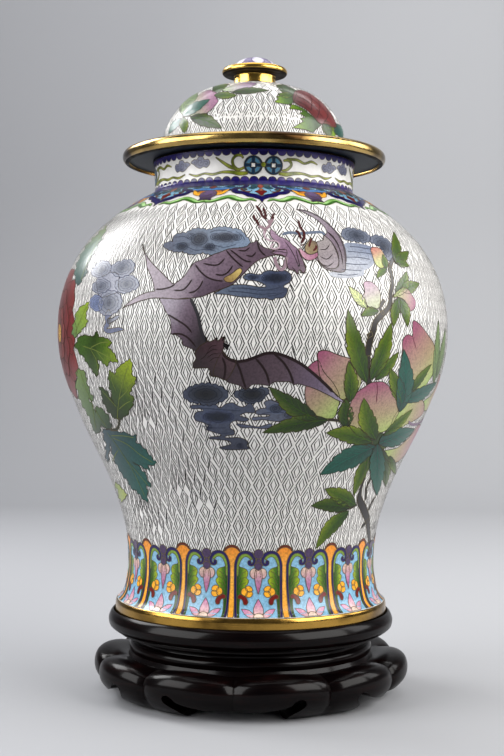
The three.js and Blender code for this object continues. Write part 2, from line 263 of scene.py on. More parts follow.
def gilt(name, tone=(190, 154, 80), worn=(78, 58, 24), patina=0.5, rough=0.3):
    """Gilt copper: drawn round the ring, bright where it is rubbed, brown in patches."""
    material, nodes, links, shader = new_material(name)
    patches = object_noise(nodes, links, "gilt_patches")
    colour = ramp(nodes, links, patches, [(mix(0.2, 0.42, patina), light(worn)),
                                          (mix(0.4, 0.6, patina), light(tone)),
                                          (0.85, light(tuple(min(255, c * 1.14) for c in tone)))])
    links.new(colour, shader.inputs["Base Color"])
    finish(shader, metal=1.0)
    roughness = ramp(nodes, links, object_noise(nodes, links, "gilt_rubbing"),
                     [(0.3, grey(rough * 1.35)), (0.7, grey(rough * 0.8))])
    links.new(roughness, shader.inputs["Roughness"])
    bump(nodes, links, shader, object_noise(nodes, links, "turning_lines"), 0.00008, 0.6)
    return material


def hardwood(name):
    """Nearly black hardwood under gloss lacquer, red where light passes the grain."""
    material, nodes, links, shader = new_material(name)
    grain = object_noise(nodes, links, "wood_grain")
    colour = ramp(nodes, links, grain, [(0.3, light((3, 1, 2))), (0.55, light((7, 3, 3))),
                                        (0.8, light((20, 6, 6)))])
    links.new(colour, shader.inputs["Base Color"])
    finish(shader, rough=0.3, gloss=0.04, coat=0.17, coat_rough=0.13)
    bump(nodes, links, shader, object_noise(nodes, links, "wood_pores"), 0.00012)
    return material


WHITE_ENAMEL = enamel("white_enamel", (226, 224, 221))
# Blue-grey counter enamel of the lid's underside and inside, painted darker as the shade that falls under the
# brim
SHADED_COUNTER_ENAMEL = enamel("counter_enamel_with_painted_shade", (26, 35, 44), 0.12, 0.5, 0.1)
COUNTER_BLUE = enamel("blue_counter_enamel", (70, 128, 150), 0.12, 0.3)
PICTURE = painted_enamel("picture_enamel")
WIRES = wire_metal("wires")
GILT_RING = gilt("gilt_ring", (166, 130, 62), (70, 50, 20), 0.5, 0.2)
GILT_RIM = gilt("gilt_rim", (184, 154, 92), (66, 46, 24), 0.75, 0.2)
GILT_SHADED = gilt("gilt_in_shade", (34, 28, 22), (10, 8, 8), 0.5, 0.6)
GILT_KNOB = gilt("gilt_knob", (214, 174, 84), (104, 74, 26), 0.25, 0.2)
HARDWOOD = hardwood("dark_hardwood")


# Drawing on a wall

class Wall:
    """A turned enamel wall. A place on it is an angle from the front and a distance up its profile."""

    def __init__(self, line):
        self.r, self.z = np.array([p[0] for p in line]), np.array([p[1] for p in line])
        self.s = np.concatenate([[0.0], np.cumsum(np.hypot(np.diff(self.r), np.diff(self.z)))])
        dr, dz = np.gradient(self.r, self.s), np.gradient(self.z, self.s)
        size = np.hypot(dr, dz)
        self.out_r, self.out_z = dz / size, -dr / size

    def along(self, z):
        return np.interp(z, self.z, self.s)

    def radius(self, s):
        return np.interp(s, self.s, self.r)

    def points(self, angle, s, depth):
        r = self.radius(s) - depth * np.interp(s, self.s, self.out_r)
        z = np.interp(s, self.s, self.z) - depth * np.interp(s, self.s, self.out_z)
        a = np.radians(angle)
        return np.stack([r * np.sin(a), -r * np.cos(a), z], 1) * MM


def on_wall(wall, angle, height, scale=1.0, turn=0.0, flip=1):
    """Lays a drawing in millimetres on the wall with its middle at this angle and height."""
    start = wall.along(height)
    c, d = math.cos(math.radians(turn)) * scale, math.sin(math.radians(turn)) * scale

    def place(x, y):
        x = x * flip
        s = start + x * d + y * c
        return angle + np.degrees((x * c - y * d) / wall.radius(s)), s
    return place


CAMERA_DISTANCE, CAMERA_HEIGHT, FOCAL_PIXELS = 755.0, 169.0, 1353.0
PICTURE_W, PICTURE_H = 504, 756
HORIZON_ROW, AXIS_COLUMN, ROLL = 385.0, 252.4, 0.45
SIGHT_STEPS, SIGHT_MARGIN, OUT_OF_REACH = 400, 5.0, 1000.0


def camera_turn():
    pitch = math.atan((HORIZON_ROW - PICTURE_H / 2) / FOCAL_PIXELS)
    return Matrix.Rotation(math.pi / 2 + pitch, 3, "X") @ Matrix.Rotation(math.radians(ROLL), 3, "Z")


def resample(path, step, closed=False):
    p = np.array(path, float)
    if closed:
        p = np.vstack([p, p[:1]])
    keep = np.concatenate([[True], np.hypot(*np.diff(p, axis=0).T) > 1e-6])
    p = p[keep]
    made = []
    for a, b in zip(p[:-1], p[1:]):
        n = max(1, math.ceil(math.hypot(*(b - a)) / step))
        made += [a + (b - a) * k / n for k in range(n)]
    return np.array(made if closed else made + [p[-1]])


def inside(points, outline):
    x, y = points[:, :1], points[:, 1:]
    px, py = outline[None, :, 0], outline[None, :, 1]
    qx, qy = np.roll(px, -1, 1), np.roll(py, -1, 1)
    rise = np.where(qy == py, 1e-9, qy - py)
    return (((py > y) != (qy > y)) & ((qx - px) * (y - py) / rise + px > x)).sum(1) % 2 == 1


def closed_curve(points, per=6):
    p = [np.array(q, float) for q in points]
    n = len(p)
    made = []
    for i in range(n):
        made += [spline(*(p[(i + k) % n] for k in (-1, 0, 1, 2)), j / per) for j in range(per)]
    return made


def arc(x, y, radius, start, end, count=12):
    return [(x + radius * math.cos(math.radians(mix(start, end, k / count))),
             y + radius * math.sin(math.radians(mix(start, end, k / count)))) for k in range(count + 1)]


def mirrored(points):
    return [(-x, y) for x, y in points]


def both(side):
    """A half outline and its mirror image."""
    return side + mirrored(side)[::-1]


def even(colour):
    value = np.array(light(colour))
    return lambda x, y: np.tile(value, (len(x), 1))


def graded(stops, value):
    """A tone that changes with value(x, y), from stops of (at, colour)."""
    at = [stop[0] for stop in stops]
    tones = np.array([light(stop[1]) for stop in stops])
    return lambda x, y: np.stack([np.interp(value(x, y), at, tones[:, k]) for k in range(3)], 1)


def rippled(stops, rate):
    """A tone that comes and goes along the wall."""
    return graded(stops, lambda x, y: 0.5 + 0.5 * np.sin(x * rate))


def rising(stops, low, high):
    """A tone that changes from the height low to the height high."""
    return graded(stops, lambda x, y: np.clip((y - low) / (high - low), 0, 1))


# Inlay, in millimetres: spacing of the points in a field, step and width of a wire
GRAIN, FINE, WIDE, COARSE, PEN = 1.6, 1.4, 1.8, 2.4, 0.3
ROW_SHARE, EDGE_SHARE, TAPER_STEPS, TAPER_END = 0.87, 0.4, 2.0, 0.15


class Inlay:
    """Coloured fields and wires laid flush on a wall, joined in one piece."""

    def __init__(self, wall, base=0):
        self.wall, self.base, self.count = wall, base, 0
        self.places, self.faces, self.tones, self.kinds = [], [], [], []

    def add(self, place, flat, faces, tone, level, kind):
        angle, s = place(flat[:, 0], flat[:, 1])
        faces = np.array(faces)
        corner = [np.stack([angle[faces[:, k]], s[faces[:, k]]], 1) for k in range(3)]
        one, two = corner[1] - corner[0], corner[2] - corner[0]
        wrong = one[:, 0] * two[:, 1] - one[:, 1] * two[:, 0] < 0
        faces[wrong] = faces[wrong][:, ::-1]
        self.places.append(self.wall.points(angle, s, SKIN - LIFT * (self.base + level)))
        self.tones.append(tone(flat[:, 0], flat[:, 1]))
        self.faces.append(faces + self.count)
        self.kinds.append(np.full(len(faces), kind))
        self.count += len(flat)

    def field(self, place, outline, tone, level=1, grain=COARSE):
        line = resample(outline, grain, True)
        low, high = line.min(0), line.max(0)
        gx, gy = np.meshgrid(np.arange(low[0] + grain / 2, high[0], grain),
                             np.arange(low[1] + grain / 2, high[1], grain * ROW_SHARE))
        gx[1::2] += grain / 2
        grid = np.stack([gx.ravel(), gy.ravel()], 1)
        if len(grid):
            grid = grid[inside(grid, line)]
        if len(grid):
            gap = ((grid[:, None] - line[None]) ** 2).sum(2).min(1)
            grid = grid[gap > (grain * EDGE_SHARE) ** 2]
        coords = [Vector(p) for p in np.vstack([line, grid])] if len(grid) else [Vector(p) for p in line]
        edges = [(i, (i + 1) % len(line)) for i in range(len(line))]
        made = delaunay_2d_cdt(coords, edges, [], 1, 1e-5)
        if made[2]:
            flat = np.array([tuple(v) for v in made[0]])
            self.add(place, flat, [tuple(f) for f in made[2]], tone, level, 0)

    def wire(self, place, path, level=2, width=PEN, tone=None, closed=False, taper=False,
             step=GRAIN):
        line = resample(path, step, closed)
        if closed:
            way = np.roll(line, -1, 0) - np.roll(line, 1, 0)
        else:
            way = np.gradient(line, axis=0)
        way /= np.maximum(np.hypot(way[:, 0], way[:, 1]), 1e-9)[:, None]
        half = np.full(len(line), width / 2)
        if taper:
            half *= np.clip(np.minimum(np.arange(len(line)), np.arange(len(line))[::-1]) / TAPER_STEPS,
                            TAPER_END, 1)
        across = np.stack([-way[:, 1], way[:, 0]], 1) * half[:, None]
        n = len(line)
        flat = np.vstack([line + across, line - across])
        last = n if closed else n - 1
        faces = []
        for i in range(last):
            j = (i + 1) % n
            faces += [(i, i + n, j + n), (i, j + n, j)]
        self.add(place, flat, faces, tone or WIRE, level, 1)

    def cell(self, place, outline, tone, level=1, grain=COARSE, width=PEN, wire_tone=None):
        """A field with its wire round it."""
        self.field(place, outline, tone, level, grain)
        self.wire(place, outline, level + 1, width, wire_tone, True, step=min(grain, GRAIN))

    def piece(self, name, slot):
        mesh = bpy.data.meshes.new(name)
        mesh.from_pydata(np.vstack(self.places).tolist(), [], np.vstack(self.faces).tolist())
        tones = mesh.attributes.new("tone", "FLOAT_COLOR", "POINT")
        rgba = np.ones((self.count, 4), np.float32)
        rgba[:, :3] = np.vstack(self.tones)
        tones.data.foreach_set("color", rgba.ravel())
        mesh.materials.append(PICTURE)
        mesh.materials.append(WIRES)
        mesh.polygons.foreach_set("material_index", np.concatenate(self.kinds).astype(np.int32))
        mesh.polygons.foreach_set("use_smooth", np.ones(len(mesh.polygons), bool))
        mesh.update()
        thing = bpy.data.objects.new(name, mesh)
        bpy.context.scene.collection.objects.link(thing)
        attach(thing, BODY)
        return thing


class Picture(Inlay):
    """An inlay drawn with points of the photograph, in its 504 x 756 frame.

    They are carried along the line of sight to the wall. On the wall a drawing is flat: x runs along it
    and y up its profile, both in millimetres. around turns the whole drawing about the axis.
    """

    def __init__(self, wall, around=0.0):
        super().__init__(wall)
        self.around, self.degree = around, math.radians(float(wall.r.max()))
        self.turn = np.array(camera_turn())

    def place(self, x, y):
        return x / self.degree + self.around, y

    def flat(self, pixels):
        p = np.array(pixels, float)
        way = np.stack([p[:, 0] - AXIS_COLUMN, PICTURE_H / 2 - p[:, 1], np.full(len(p), -FOCAL_PIXELS)], 1)
        way = way @ self.turn.T
        way /= way[:, 1:2]
        reach = np.linspace(CAMERA_DISTANCE - BELLY_R - SIGHT_MARGIN, CAMERA_DISTANCE, SIGHT_STEPS)
        x, y = way[:, :1] * reach, reach - CAMERA_DISTANCE + 0 * way[:, :1]
        z = CAMERA_HEIGHT + way[:, 2:] * reach
        gap = np.hypot(x, y) - np.interp(z, self.wall.z, self.wall.r)
        gap[(z < self.wall.z[0]) | (z > self.wall.z[-1])] = OUT_OF_REACH
        hit = gap < 0
        first = np.where(hit.any(1), hit.argmax(1), gap.argmin(1))
        made = []
        for i, k in enumerate(first):
            t = 0.0
            if hit[i, k] and k > 0 and gap[i, k - 1] < OUT_OF_REACH:
                t = gap[i, k] / (gap[i, k] - gap[i, k - 1])
            j = max(k - 1, 0)
            angle = math.degrees(math.atan2(mix(x[i, k], x[i, j], t), -mix(y[i, k], y[i, j], t)))
            made.append((angle * self.degree, float(self.wall.along(mix(z[i, k], z[i, j], t)))))
        return made


WIRE = even((92, 82, 56))
WIRE_ON_WHITE = even((34, 32, 30))
NAVY, TURQUOISE, TEAL = (18, 10, 78), (122, 168, 196), (26, 80, 96)
RED_BROWN, ORANGE, PURPLE = (104, 22, 20), (232, 162, 44), (66, 50, 82)


# Turned pieces

def deselect_all():
    for thing in list(bpy.context.selected_objects):
        thing.select_set(False)


def make_active(piece):
    deselect_all()
    piece.select_set(True)
    bpy.context.view_layer.objects.active = piece


def close_up(piece, steps=0):
    """Spins the selected profile if asked, joins what meets and turns the faces outward."""
    make_active(piece)
    bpy.ops.object.mode_set(mode="EDIT")
    bpy.ops.mesh.select_all(action="SELECT")
    if steps:
        bpy.ops.mesh.spin(steps=steps, angle=2 * math.pi, center=(0, 0, 0), axis=(0, 0, 1))
        bpy.ops.mesh.select_all(action="SELECT")
    bpy.ops.mesh.remove_doubles(threshold=MERGE)
    bpy.ops.mesh.normals_make_consistent(inside=False)
    bpy.ops.object.mode_set(mode="OBJECT")


def new_mesh_piece(name, points, edges, faces):
    mesh = bpy.data.meshes.new(name)
    mesh.from_pydata(points, edges, faces)
    piece = bpy.data.objects.new(name, mesh)
    bpy.context.scene.collection.objects.link(piece)
    return piece


def turned(name, profile, materials, slot_of=None, steps=TURN_STEPS, smooth=40):
    """Spins a profile (radius, height, in millimetres) round the axis. slot_of picks a finish by place."""
    points = [(r * MM, 0.0, z * MM) for r, z in profile]
    edges = [(i, i + 1) for i in range(len(points) - 1)]
    piece = new_mesh_piece(name, points, edges, [])
    close_up(piece, steps)
    for material in materials:
        piece.data.materials.append(material)
    if slot_of:
        for face in piece.data.polygons:
            face.material_index = slot_of(face.center / MM, face.normal)
    make_active(piece)
    bpy.ops.object.shade_smooth_by_angle(angle=math.radians(smooth))
    return piece


def fit(piece, node):
    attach(piece, BODY)
    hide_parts(node)
    return piece


def jar_body():
    outer = offset_line(jar_line(), SKIN)
    outer[-1] = (outer[-1][0], NECK_TOP_Z)
    floor = FOOT_EDGE_Z + FLOOR_RISE
    inner = [p for p in offset_line(jar_line(), WALL) if floor + 3 < p[1] < NECK_BASE_Z]
    start = inner[0][0]
    lip = NECK_R - WALL
    profile = [(0, floor)] + [(start - 3, floor), (start - 0.9, floor + 0.9)] + inner
    profile += [(lip, NECK_BASE_Z + NECK_FILLET), (lip, NECK_TOP_Z - 0.3), (lip + 0.3, NECK_TOP_Z)]
    profile += list(reversed(outer))
    profile += [(FOOT_EDGE_R - WALL, FOOT_EDGE_Z), (start - WALL, floor - WALL), (0, floor - WALL)]

    def slot_of(place, normal):
        radius = math.hypot(place.x, place.y)
        outward = normal.x * place.x + normal.y * place.y
        if outward <= 0 or radius < FOOT_EDGE_R - WALL - 3 and place.z < floor + 1:
            return 1
        return 0 if radius > lip + 0.5 else 1

    return fit(turned("enamel_jar", profile, [WHITE_ENAMEL, COUNTER_BLUE], slot_of), "jar_body")


def rounded(corners, radius, per=4):
    """A closed profile with its corners rounded."""
    made = []
    for i, corner in enumerate(corners):
        here = Vector(corner)
        before, after = Vector(corners[i - 1]), Vector(corners[(i + 1) % len(corners)])
        reach = min(radius, (before - here).length * 0.45, (after - here).length * 0.45)
        a = here + (before - here).normalized() * reach
        b = here + (after - here).normalized() * reach
        for k in range(per + 1):
            t = k / per
            made.append(tuple(a * (1 - t) ** 2 + here * 2 * t * (1 - t) + b * t * t))
    return made + [made[0]]


def rings():
    r, top, bottom = FOOT_EDGE_R, FOOT_EDGE_Z - FIT * 0.3, FOOT_RING_BOTTOM_Z
    flare = FOOT_RING_FLARE
    foot = rounded([(r - FOOT_RING_WALL, bottom), (r, bottom), (r + flare, mix(bottom, top, 0.3)),
                    (r + flare, mix(bottom, top, 0.8)), (r, top), (r - FOOT_RING_WALL, top)], 0.8)
    fit(turned("gilt_foot_ring", foot, [GILT_RING]), "foot_ring")
    low, high = NECK_TOP_Z + FIT * 0.3, NECK_TOP_Z + FIT + MOUTH_RING_H
    inner = NECK_R - WALL - FIT
    mouth = rounded([(inner, low), (NECK_LIP_R - 0.1, low), (NECK_LIP_R - 0.1, high), (inner, high)], 0.25)
    fit(turned("gilt_mouth_ring", mouth, [GILT_SHADED]), "mouth_ring")
    high = BRIM_UNDER_Z - BRIM_DROP + LID_RIM_H
    low = high - LID_RIM_H + RIM_LIFT
    inner = LID_RIM_R - LID_RIM_WALL
    rim = [(inner, low)] + [(LID_RIM_R - RIM_ROUND + RIM_ROUND * math.cos(a), side + RIM_ROUND * math.sin(a))
                            for side, turns in ((low + RIM_ROUND, (-1.0, 0.0)),
                                                (high - RIM_ROUND, (0.0, 1.0)))
                            for a in np.linspace(turns[0] * math.pi / 2, turns[1] * math.pi / 2, 9)
                            ] + [(inner, high)]
    fit(turned("gilt_lid_rim", rim, [GILT_RIM, GILT_SHADED], lambda place, normal: int(normal.z < -0.86)),
        "lid_rim")
    outer, low, high = NECK_R - WALL - COLLAR_CLEAR, BRIM_UNDER_Z - FIT - COLLAR_H, BRIM_UNDER_Z - 0.1
    collar = rounded([(outer - COLLAR_WALL, low), (outer, low), (outer, high), (outer - COLLAR_WALL, high)],
                     0.4)
    fit(turned("gilt_lid_collar", collar, [GILT_RING]), "lid_collar")


def lid_shell():
    outer = offset_line(dome_line(), SKIN)
    outer[-1] = (0.0, DOME_TOP_Z - SKIN)
    brim = LID_RIM_R - LID_RIM_WALL - FIT * 0.3
    inner = [(r * (DOME_R - WALL) / DOME_R, DOME_BASE_Z + (z - DOME_BASE_Z) * (DOME_H - WALL) / DOME_H)
             for r, z in dome_line()]
    inner[-1] = (0.0, DOME_TOP_Z - WALL)
    base = outer[0][0]
    cove = smooth_line([(base + 4.2, BRIM_TOP_Z), (base + 1.8, BRIM_TOP_Z + 0.35),
                        (base + 0.5, BRIM_TOP_Z + 1.2), outer[0]], 4)
    profile = list(reversed(inner)) + [(DOME_R - WALL, BRIM_UNDER_Z), (brim, BRIM_UNDER_Z),
                                       (brim, BRIM_TOP_Z)]
    profile += cove[:-1] + outer

    # Faces that look down or inward take the counter enamel, whose colour carries painted shade
    def slot_of(place, normal):
        facing = normal.z if abs(normal.z) > 0.3 else normal.x * place.x + normal.y * place.y
        return 0 if facing > 0 else 1

    fit(turned("enamel_lid", profile, [WHITE_ENAMEL, SHADED_COUNTER_ENAMEL], slot_of), "lid_shell")


def knob():
    base, under = KNOB_BASE_Z, KNOB_BASE_Z + DISH_UNDER_RISE
    neck = (STEM_R + 1.0, under - 0.3)
    top = under + DISH_H
    stem = smooth_line([(STEM_R + 0.6, base - STEM_SKIRT), (STEM_R + 0.4, base + 1.6),
                        (STEM_R + 0.4, under - 1.0), neck], 5)
    dish = smooth_line([neck, (DISH_R - 3.4, under + 0.05), (DISH_R - 0.9, under + 0.15),
                        (DISH_R, under + DISH_H * 0.6), (DISH_R - 0.8, under + DISH_H * 1.15),
                        (DISH_R - 2.4, under + DISH_H * 1.25), (BUTTON_R + 1.0, top)], 6)
    profile = [(0, base - 0.2)] + stem + dish[1:] + [(0, top)]
    piece = turned("gilt_knob", profile, [GILT_KNOB, GILT_SHADED],
                   lambda place, normal: int(normal.z < -0.5 and place.z > (base + 2) * MM), steps=KNOB_STEPS)
    angle = math.radians(PIN_HOLE_ANGLE)
    bpy.ops.mesh.primitive_cylinder_add(vertices=24, radius=PIN_HOLE_R * MM, depth=PIN_HOLE_DEPTH * MM,
                                        rotation=(math.pi / 2, 0, angle))
    hole = bpy.context.object
    hole.location = (STEM_R * MM * math.sin(angle), -STEM_R * MM * math.cos(angle),
                     (base + PIN_HOLE_RISE) * MM)
    cut(piece, [hole])
    fit(piece, "knob")
    line = button_line()
    body = offset_line(line, SKIN)
    body[0], body[-1] = (BUTTON_R - SKIN, line[0][1]), (0.0, line[-1][1] - SKIN)
    fit(turned("enamel_button", [(0, line[0][1])] + body, [WHITE_ENAMEL], steps=KNOB_STEPS), "knob_button")


def cut(piece, tools):
    for tool in tools:
        make_active(piece)
        modifier = piece.modifiers.new("cut", "BOOLEAN")
        modifier.operation = "DIFFERENCE"
        modifier.solver = "EXACT"
        modifier.object = tool
        bpy.ops.object.modifier_apply(modifier=modifier.name)
        bpy.data.objects.remove(tool, do_unlink=True)


# Stand

def stand_section(share):
    """Profile from the seat outward and down to the sole; share is 1 in a notch and 0 on a lobe."""
    seat_r = FOOT_EDGE_R + FOOT_RING_FLARE + SEAT_CLEAR
    nose_in, nose_low = BULL_NOSE_R - BULL_NOSE_H * 0.3, BULL_NOSE_Z - BULL_NOSE_H * 0.5
    seat = [(0, SEAT_Z), (seat_r, SEAT_Z), (seat_r, SEAT_WALL_TOP_Z - 0.5),
            (seat_r + 0.4, SEAT_WALL_TOP_Z - 0.05)]
    nose = smooth_line([(seat_r + 0.4, SEAT_WALL_TOP_Z - 0.05), (BULL_NOSE_R - 1.2, BULL_NOSE_Z + 3.9),
                        (BULL_NOSE_R - 0.1, BULL_NOSE_Z + 1.2), (BULL_NOSE_R, BULL_NOSE_Z - 0.6),
                        (BULL_NOSE_R - 0.7, BULL_NOSE_Z - 3.0), (nose_in, nose_low)], 4)
    bead = [(BEAD_R + 0.4, nose_low - 0.1), (BEAD_R - 0.3, nose_low - 0.5), (BEAD_R, nose_low - 1.2),
            (BEAD_R - 0.1, nose_low - 2.2), (BEAD_R - 0.9, nose_low - 2.6)]
    cove = smooth_line([(BEAD_R - 1.6, nose_low - 2.7), (STAND_WAIST_R + 2.4, STAND_WAIST_Z + 1.3),
                        (STAND_WAIST_R + 0.3, STAND_WAIST_Z - 0.4), (STAND_WAIST_R, STAND_WAIST_Z - 1.8)], 4)
    bulge = smooth_line([(STAND_WAIST_R + 0.2, STAND_WAIST_Z - 2.2), (BULGE_R - 0.8, BULGE_Z + 2.3),
                         (BULGE_R, BULGE_Z), (BULGE_R - 0.8, BULGE_Z - 2.6)], 4)
    lobe = [
        (BULGE_R + 0.4, LOBE_CROWN_Z - 3.6, 0, 0.0),
        (mix(BULGE_R, LOBE_R, 0.3), LOBE_CROWN_Z - 1.3, 0, 0.5),
        (mix(BULGE_R, LOBE_R, 0.56), LOBE_CROWN_Z - 0.4, 0.2, 1.0),
        (mix(BULGE_R, LOBE_R, 0.8), LOBE_CROWN_Z - 1.7, 0.6, 1.0),
        (mix(BULGE_R, LOBE_R, 0.95), mix(LOBE_EDGE_Z, LOBE_CROWN_Z, 0.52), 1.0, 0.7),
        (LOBE_R - 0.05, LOBE_EDGE_Z, 1.0, 0.2),
        (mix(STAND_FOOT_R, LOBE_R, 0.9), LOBE_EDGE_Z * 0.64, 0.9, 0.0),
        (mix(STAND_FOOT_R, LOBE_R, 0.58), LOBE_EDGE_Z * 0.3, 0.6, 0.0),
        (mix(STAND_FOOT_R, LOBE_R, 0.2), LOBE_EDGE_Z * 0.07, 0.3, 0.0),
        (STAND_FOOT_R, 0.0, 0.2, 0.0),
    ]
    skirt = smooth_line([(r - NOTCH_DEPTH * share * a, z - NOTCH_DROP * share * b) for r, z, a, b in lobe], 5)
    skirt = [(r, max(z, 0.0)) for r, z in skirt]
    under = [(UNDER_R + UNDER_ROUND, 0.0), (UNDER_R, UNDER_ROUND), (UNDER_R, UNDER_Z - UNDER_ROUND),
             (UNDER_R - UNDER_ROUND, UNDER_Z), (0, UNDER_Z)]
    return seat + nose[1:] + bead + cove + bulge + skirt + under


def at_angle(radius, angle, height):
    """Angles run from the front, positive to the right."""
    return (radius * math.sin(angle) * MM, -radius * math.cos(angle) * MM, height * MM)


def arch_tool(middle):
    """The opening between two feet: a low arch with a round head at each side."""
    s, low, top, out = ARCH_HALF_SPAN, ARCH_MID_Z, ARCH_HEAD_Z, ARCH_HEAD_OUT
    side = [(s, -ARCH_REACH), (s + out * 0.1, low * 0.45), (s + out * 0.6, low),
            (s + out, mix(low, top, 0.45)), (s + out * 0.94, mix(low, top, 0.86)), (s + out * 0.57, top),
            (s + out * 0.17, mix(low, top, 0.8)), (s - out * 0.14, mix(low, top, 0.5)),
            (s * 0.72, mix(low, top, 0.2)), (s * 0.4, low)]
    side = smooth_line(side[:3], 2)[:-1] + smooth_line(side[2:], 4)
    outline = side + [(-x, z) for x, z in reversed(side)]
    inner, outer = UNDER_R - ARCH_REACH, LOBE_R + ARCH_REACH
    count = len(outline)
    points = [at_angle(r, middle + x / ((STAND_FOOT_R + LOBE_R) / 2), z) for r in (inner, outer) for x,
              z in outline]
    faces = [tuple(range(count)), tuple(reversed(range(count, 2 * count)))]
    faces += [(i, i + count, (i + 1) % count + count, (i + 1) % count) for i in range(count)]
    tool = new_mesh_piece("arch_tool", points, [], faces)
    close_up(tool)
    return tool


def stand():
    steps = LOBES * LOBE_STEPS
    rows = [stand_section(1 - math.sin(math.pi * (i % LOBE_STEPS) / LOBE_STEPS) ** NOTCH_SHARPNESS)
            for i in range(steps)]
    count = len(rows[0])
    start = math.radians(NOTCH_ANGLE)
    points = [at_angle(r, start + 2 * math.pi * i / steps, z) for i, row in enumerate(rows) for r, z in row]
    faces = []
    for i in range(steps):
        a, b = i * count, (i + 1) % steps * count
        faces += [(a + j, a + j + 1, b + j + 1, b + j) for j in range(count - 1)]
    piece = new_mesh_piece("hardwood_stand", points, [], faces)
    close_up(piece)
    cut(piece, [arch_tool(start + 2 * math.pi * i / LOBES) for i in range(0, LOBES, 2)])
    piece.data.materials.append(HARDWOOD)
    make_active(piece)
    bpy.ops.object.shade_smooth_by_angle(angle=math.radians(38))
    fit(piece, "stand")


# Ground of wire lozenges

LOZENGE, LOZENGE_WIRE = 7.6, 0.58
DIAMONDS = ((2.95, 6.15), (1.45, 3.6))
NARROW_PITCH, WIDE_PITCH, LID_PITCH, LID_RISE = 6.35, 7.6, 6.6, 7.0
GROUND_START, GROUND_END, LID_GROUND_START, LID_GROUND_END = 31, 21.5, 3.2, 4
JAR_SEED, LID_SEED, PETAL_SEED = 11, 3, 5
EVENING_ROUNDS, EVENING_SHARE, TIGHT_ROOM = 4, 0.25, 0.68
HAND_LEAN, HAND_DRIFT, HAND_WAVER, HAND_WIDE, HAND_TALL = 4, 0.2, 0.4, (0.95, 1.04), (0.96, 1.02)


def lozenge_rows(wall, heights, pitch_at, rng):
    """Rows set from the one below, each diamond over a gap; where the wall narrows a few are left out."""
    rows, angles = [], None
    for s in heights:
        r = float(wall.radius(s))
        want = round(2 * math.pi * r / pitch_at(r))
        if angles is None:
            angles = np.arange(want) * 360.0 / want
        else:
            angles = list((angles + np.append(angles[1:], angles[0] + 360)) / 2)
            while len(angles) > want:
                angles.pop(rng.randrange(len(angles)))
            while len(angles) < want:
                i = rng.randrange(len(angles) - 1)
                angles.insert(i + 1, (angles[i] + angles[i + 1]) / 2)
            angles = np.array(angles)
            for _ in range(EVENING_ROUNDS):
                before = np.append(angles[-1] - 360, angles[:-1])
                after = np.append(angles[1:], angles[0] + 360)
                angles = angles + EVENING_SHARE * (before + after - 2 * angles)
        rows.append((s, r, angles))
    return rows


def lozenges(inlay, low, high, pitch_low, pitch_high, rise, seed):
    """Rows of double wire diamonds, set by hand, so never quite alike."""
    rng = random.Random(seed)
    rows = lozenge_rows(inlay.wall, np.arange(low, high, rise), lambda r: mix(
        pitch_low, pitch_high, min(1.0, max(0.0, (r - WAIST_R) / (BELLY_R - WAIST_R)))), rng)

    def room(angle, gap, row):
        """1 where the diamond stands between two of the other row, less where it stands over one."""
        if not 0 <= row < len(rows):
            return 1.0
        off = np.abs((rows[row][2] - angle + 180) % 360 - 180).min()
        return mix(TIGHT_ROOM, 1.0, min(1.0, 2 * off / gap))
    for row, (s, r, angles) in enumerate(rows):
        gaps = (np.append(angles[1:], angles[0] + 360) - np.append(angles[-1] - 360, angles[:-1])) / 2
        for angle, gap in zip(angles, gaps):
            up, down = (room(angle, gap, row + side) * rise / LOZENGE for side in (1, -1))
            diamond(inlay, rng, angle, s + rng.uniform(-HAND_DRIFT, HAND_DRIFT),
                    math.radians(gap) * r / LOZENGE, up, down)


def diamond(inlay, rng, angle, s, wide, up, down):
    wall = inlay.wall
    lean = math.radians(rng.uniform(-HAND_LEAN, HAND_LEAN))

    def place(x, y):
        return angle + np.degrees((x + y * lean) / wall.radius(s + y)), s + y
    for half_w, half_h in DIAMONDS:
        w, h = half_w * wide * rng.uniform(*HAND_WIDE), half_h * rng.uniform(*HAND_TALL)
        inlay.wire(place, [(0, -h * down), (w, rng.uniform(-HAND_WAVER, HAND_WAVER)), (0, h * up),
                           (-w, rng.uniform(-HAND_WAVER, HAND_WAVER))],
                   1, LOZENGE_WIRE, WIRE_ON_WHITE, True, step=5.0)


# Neck, collar and foot bands

NECK_SCALLOPS, HEADS, HEAD_ANGLE, PANELS, PANEL_ANGLE = 72, 8, 3.1, 16, 3.2
COLLAR_TOP_Z, FOOT_BAND_Z, NECK_SCROLL_Z, COIN_Z = NECK_BASE_Z - 0.3, FOOT_EDGE_Z + 0.4, 283.2, 282.9


def scallop_border(inlay, base, edge, tip, grain=1.0):
    """Navy scallops round the neck, from the straight base to the tips."""
    wall = inlay.wall
    pitch = 360 / NECK_SCALLOPS
    haze = rippled([(0, NAVY), (0.6, (26, 18, 94)), (1, (62, 50, 116))], 0.31)
    for i in range(NECK_SCALLOPS):
        middle = i * pitch
        radius = float(wall.radius(wall.along(edge)))
        half = math.radians(pitch / 2) * radius
        bow = [(half * math.cos(t), (tip - edge) * math.sin(t)) for t in np.linspace(math.pi, 0, 13)]
        place = on_wall(wall, middle, edge)
        drop = base - edge
        outline = [(half, drop), (-half, drop)] + bow
        near = 0.4 if i % 9 else 0.9
        inlay.field(place, outline, lambda x, y, m=middle * 3.1 + near: haze(x * 0 + m, y), 1, grain)
        inlay.wire(place, bow, 2, 0.26, WIRE, step=grain)


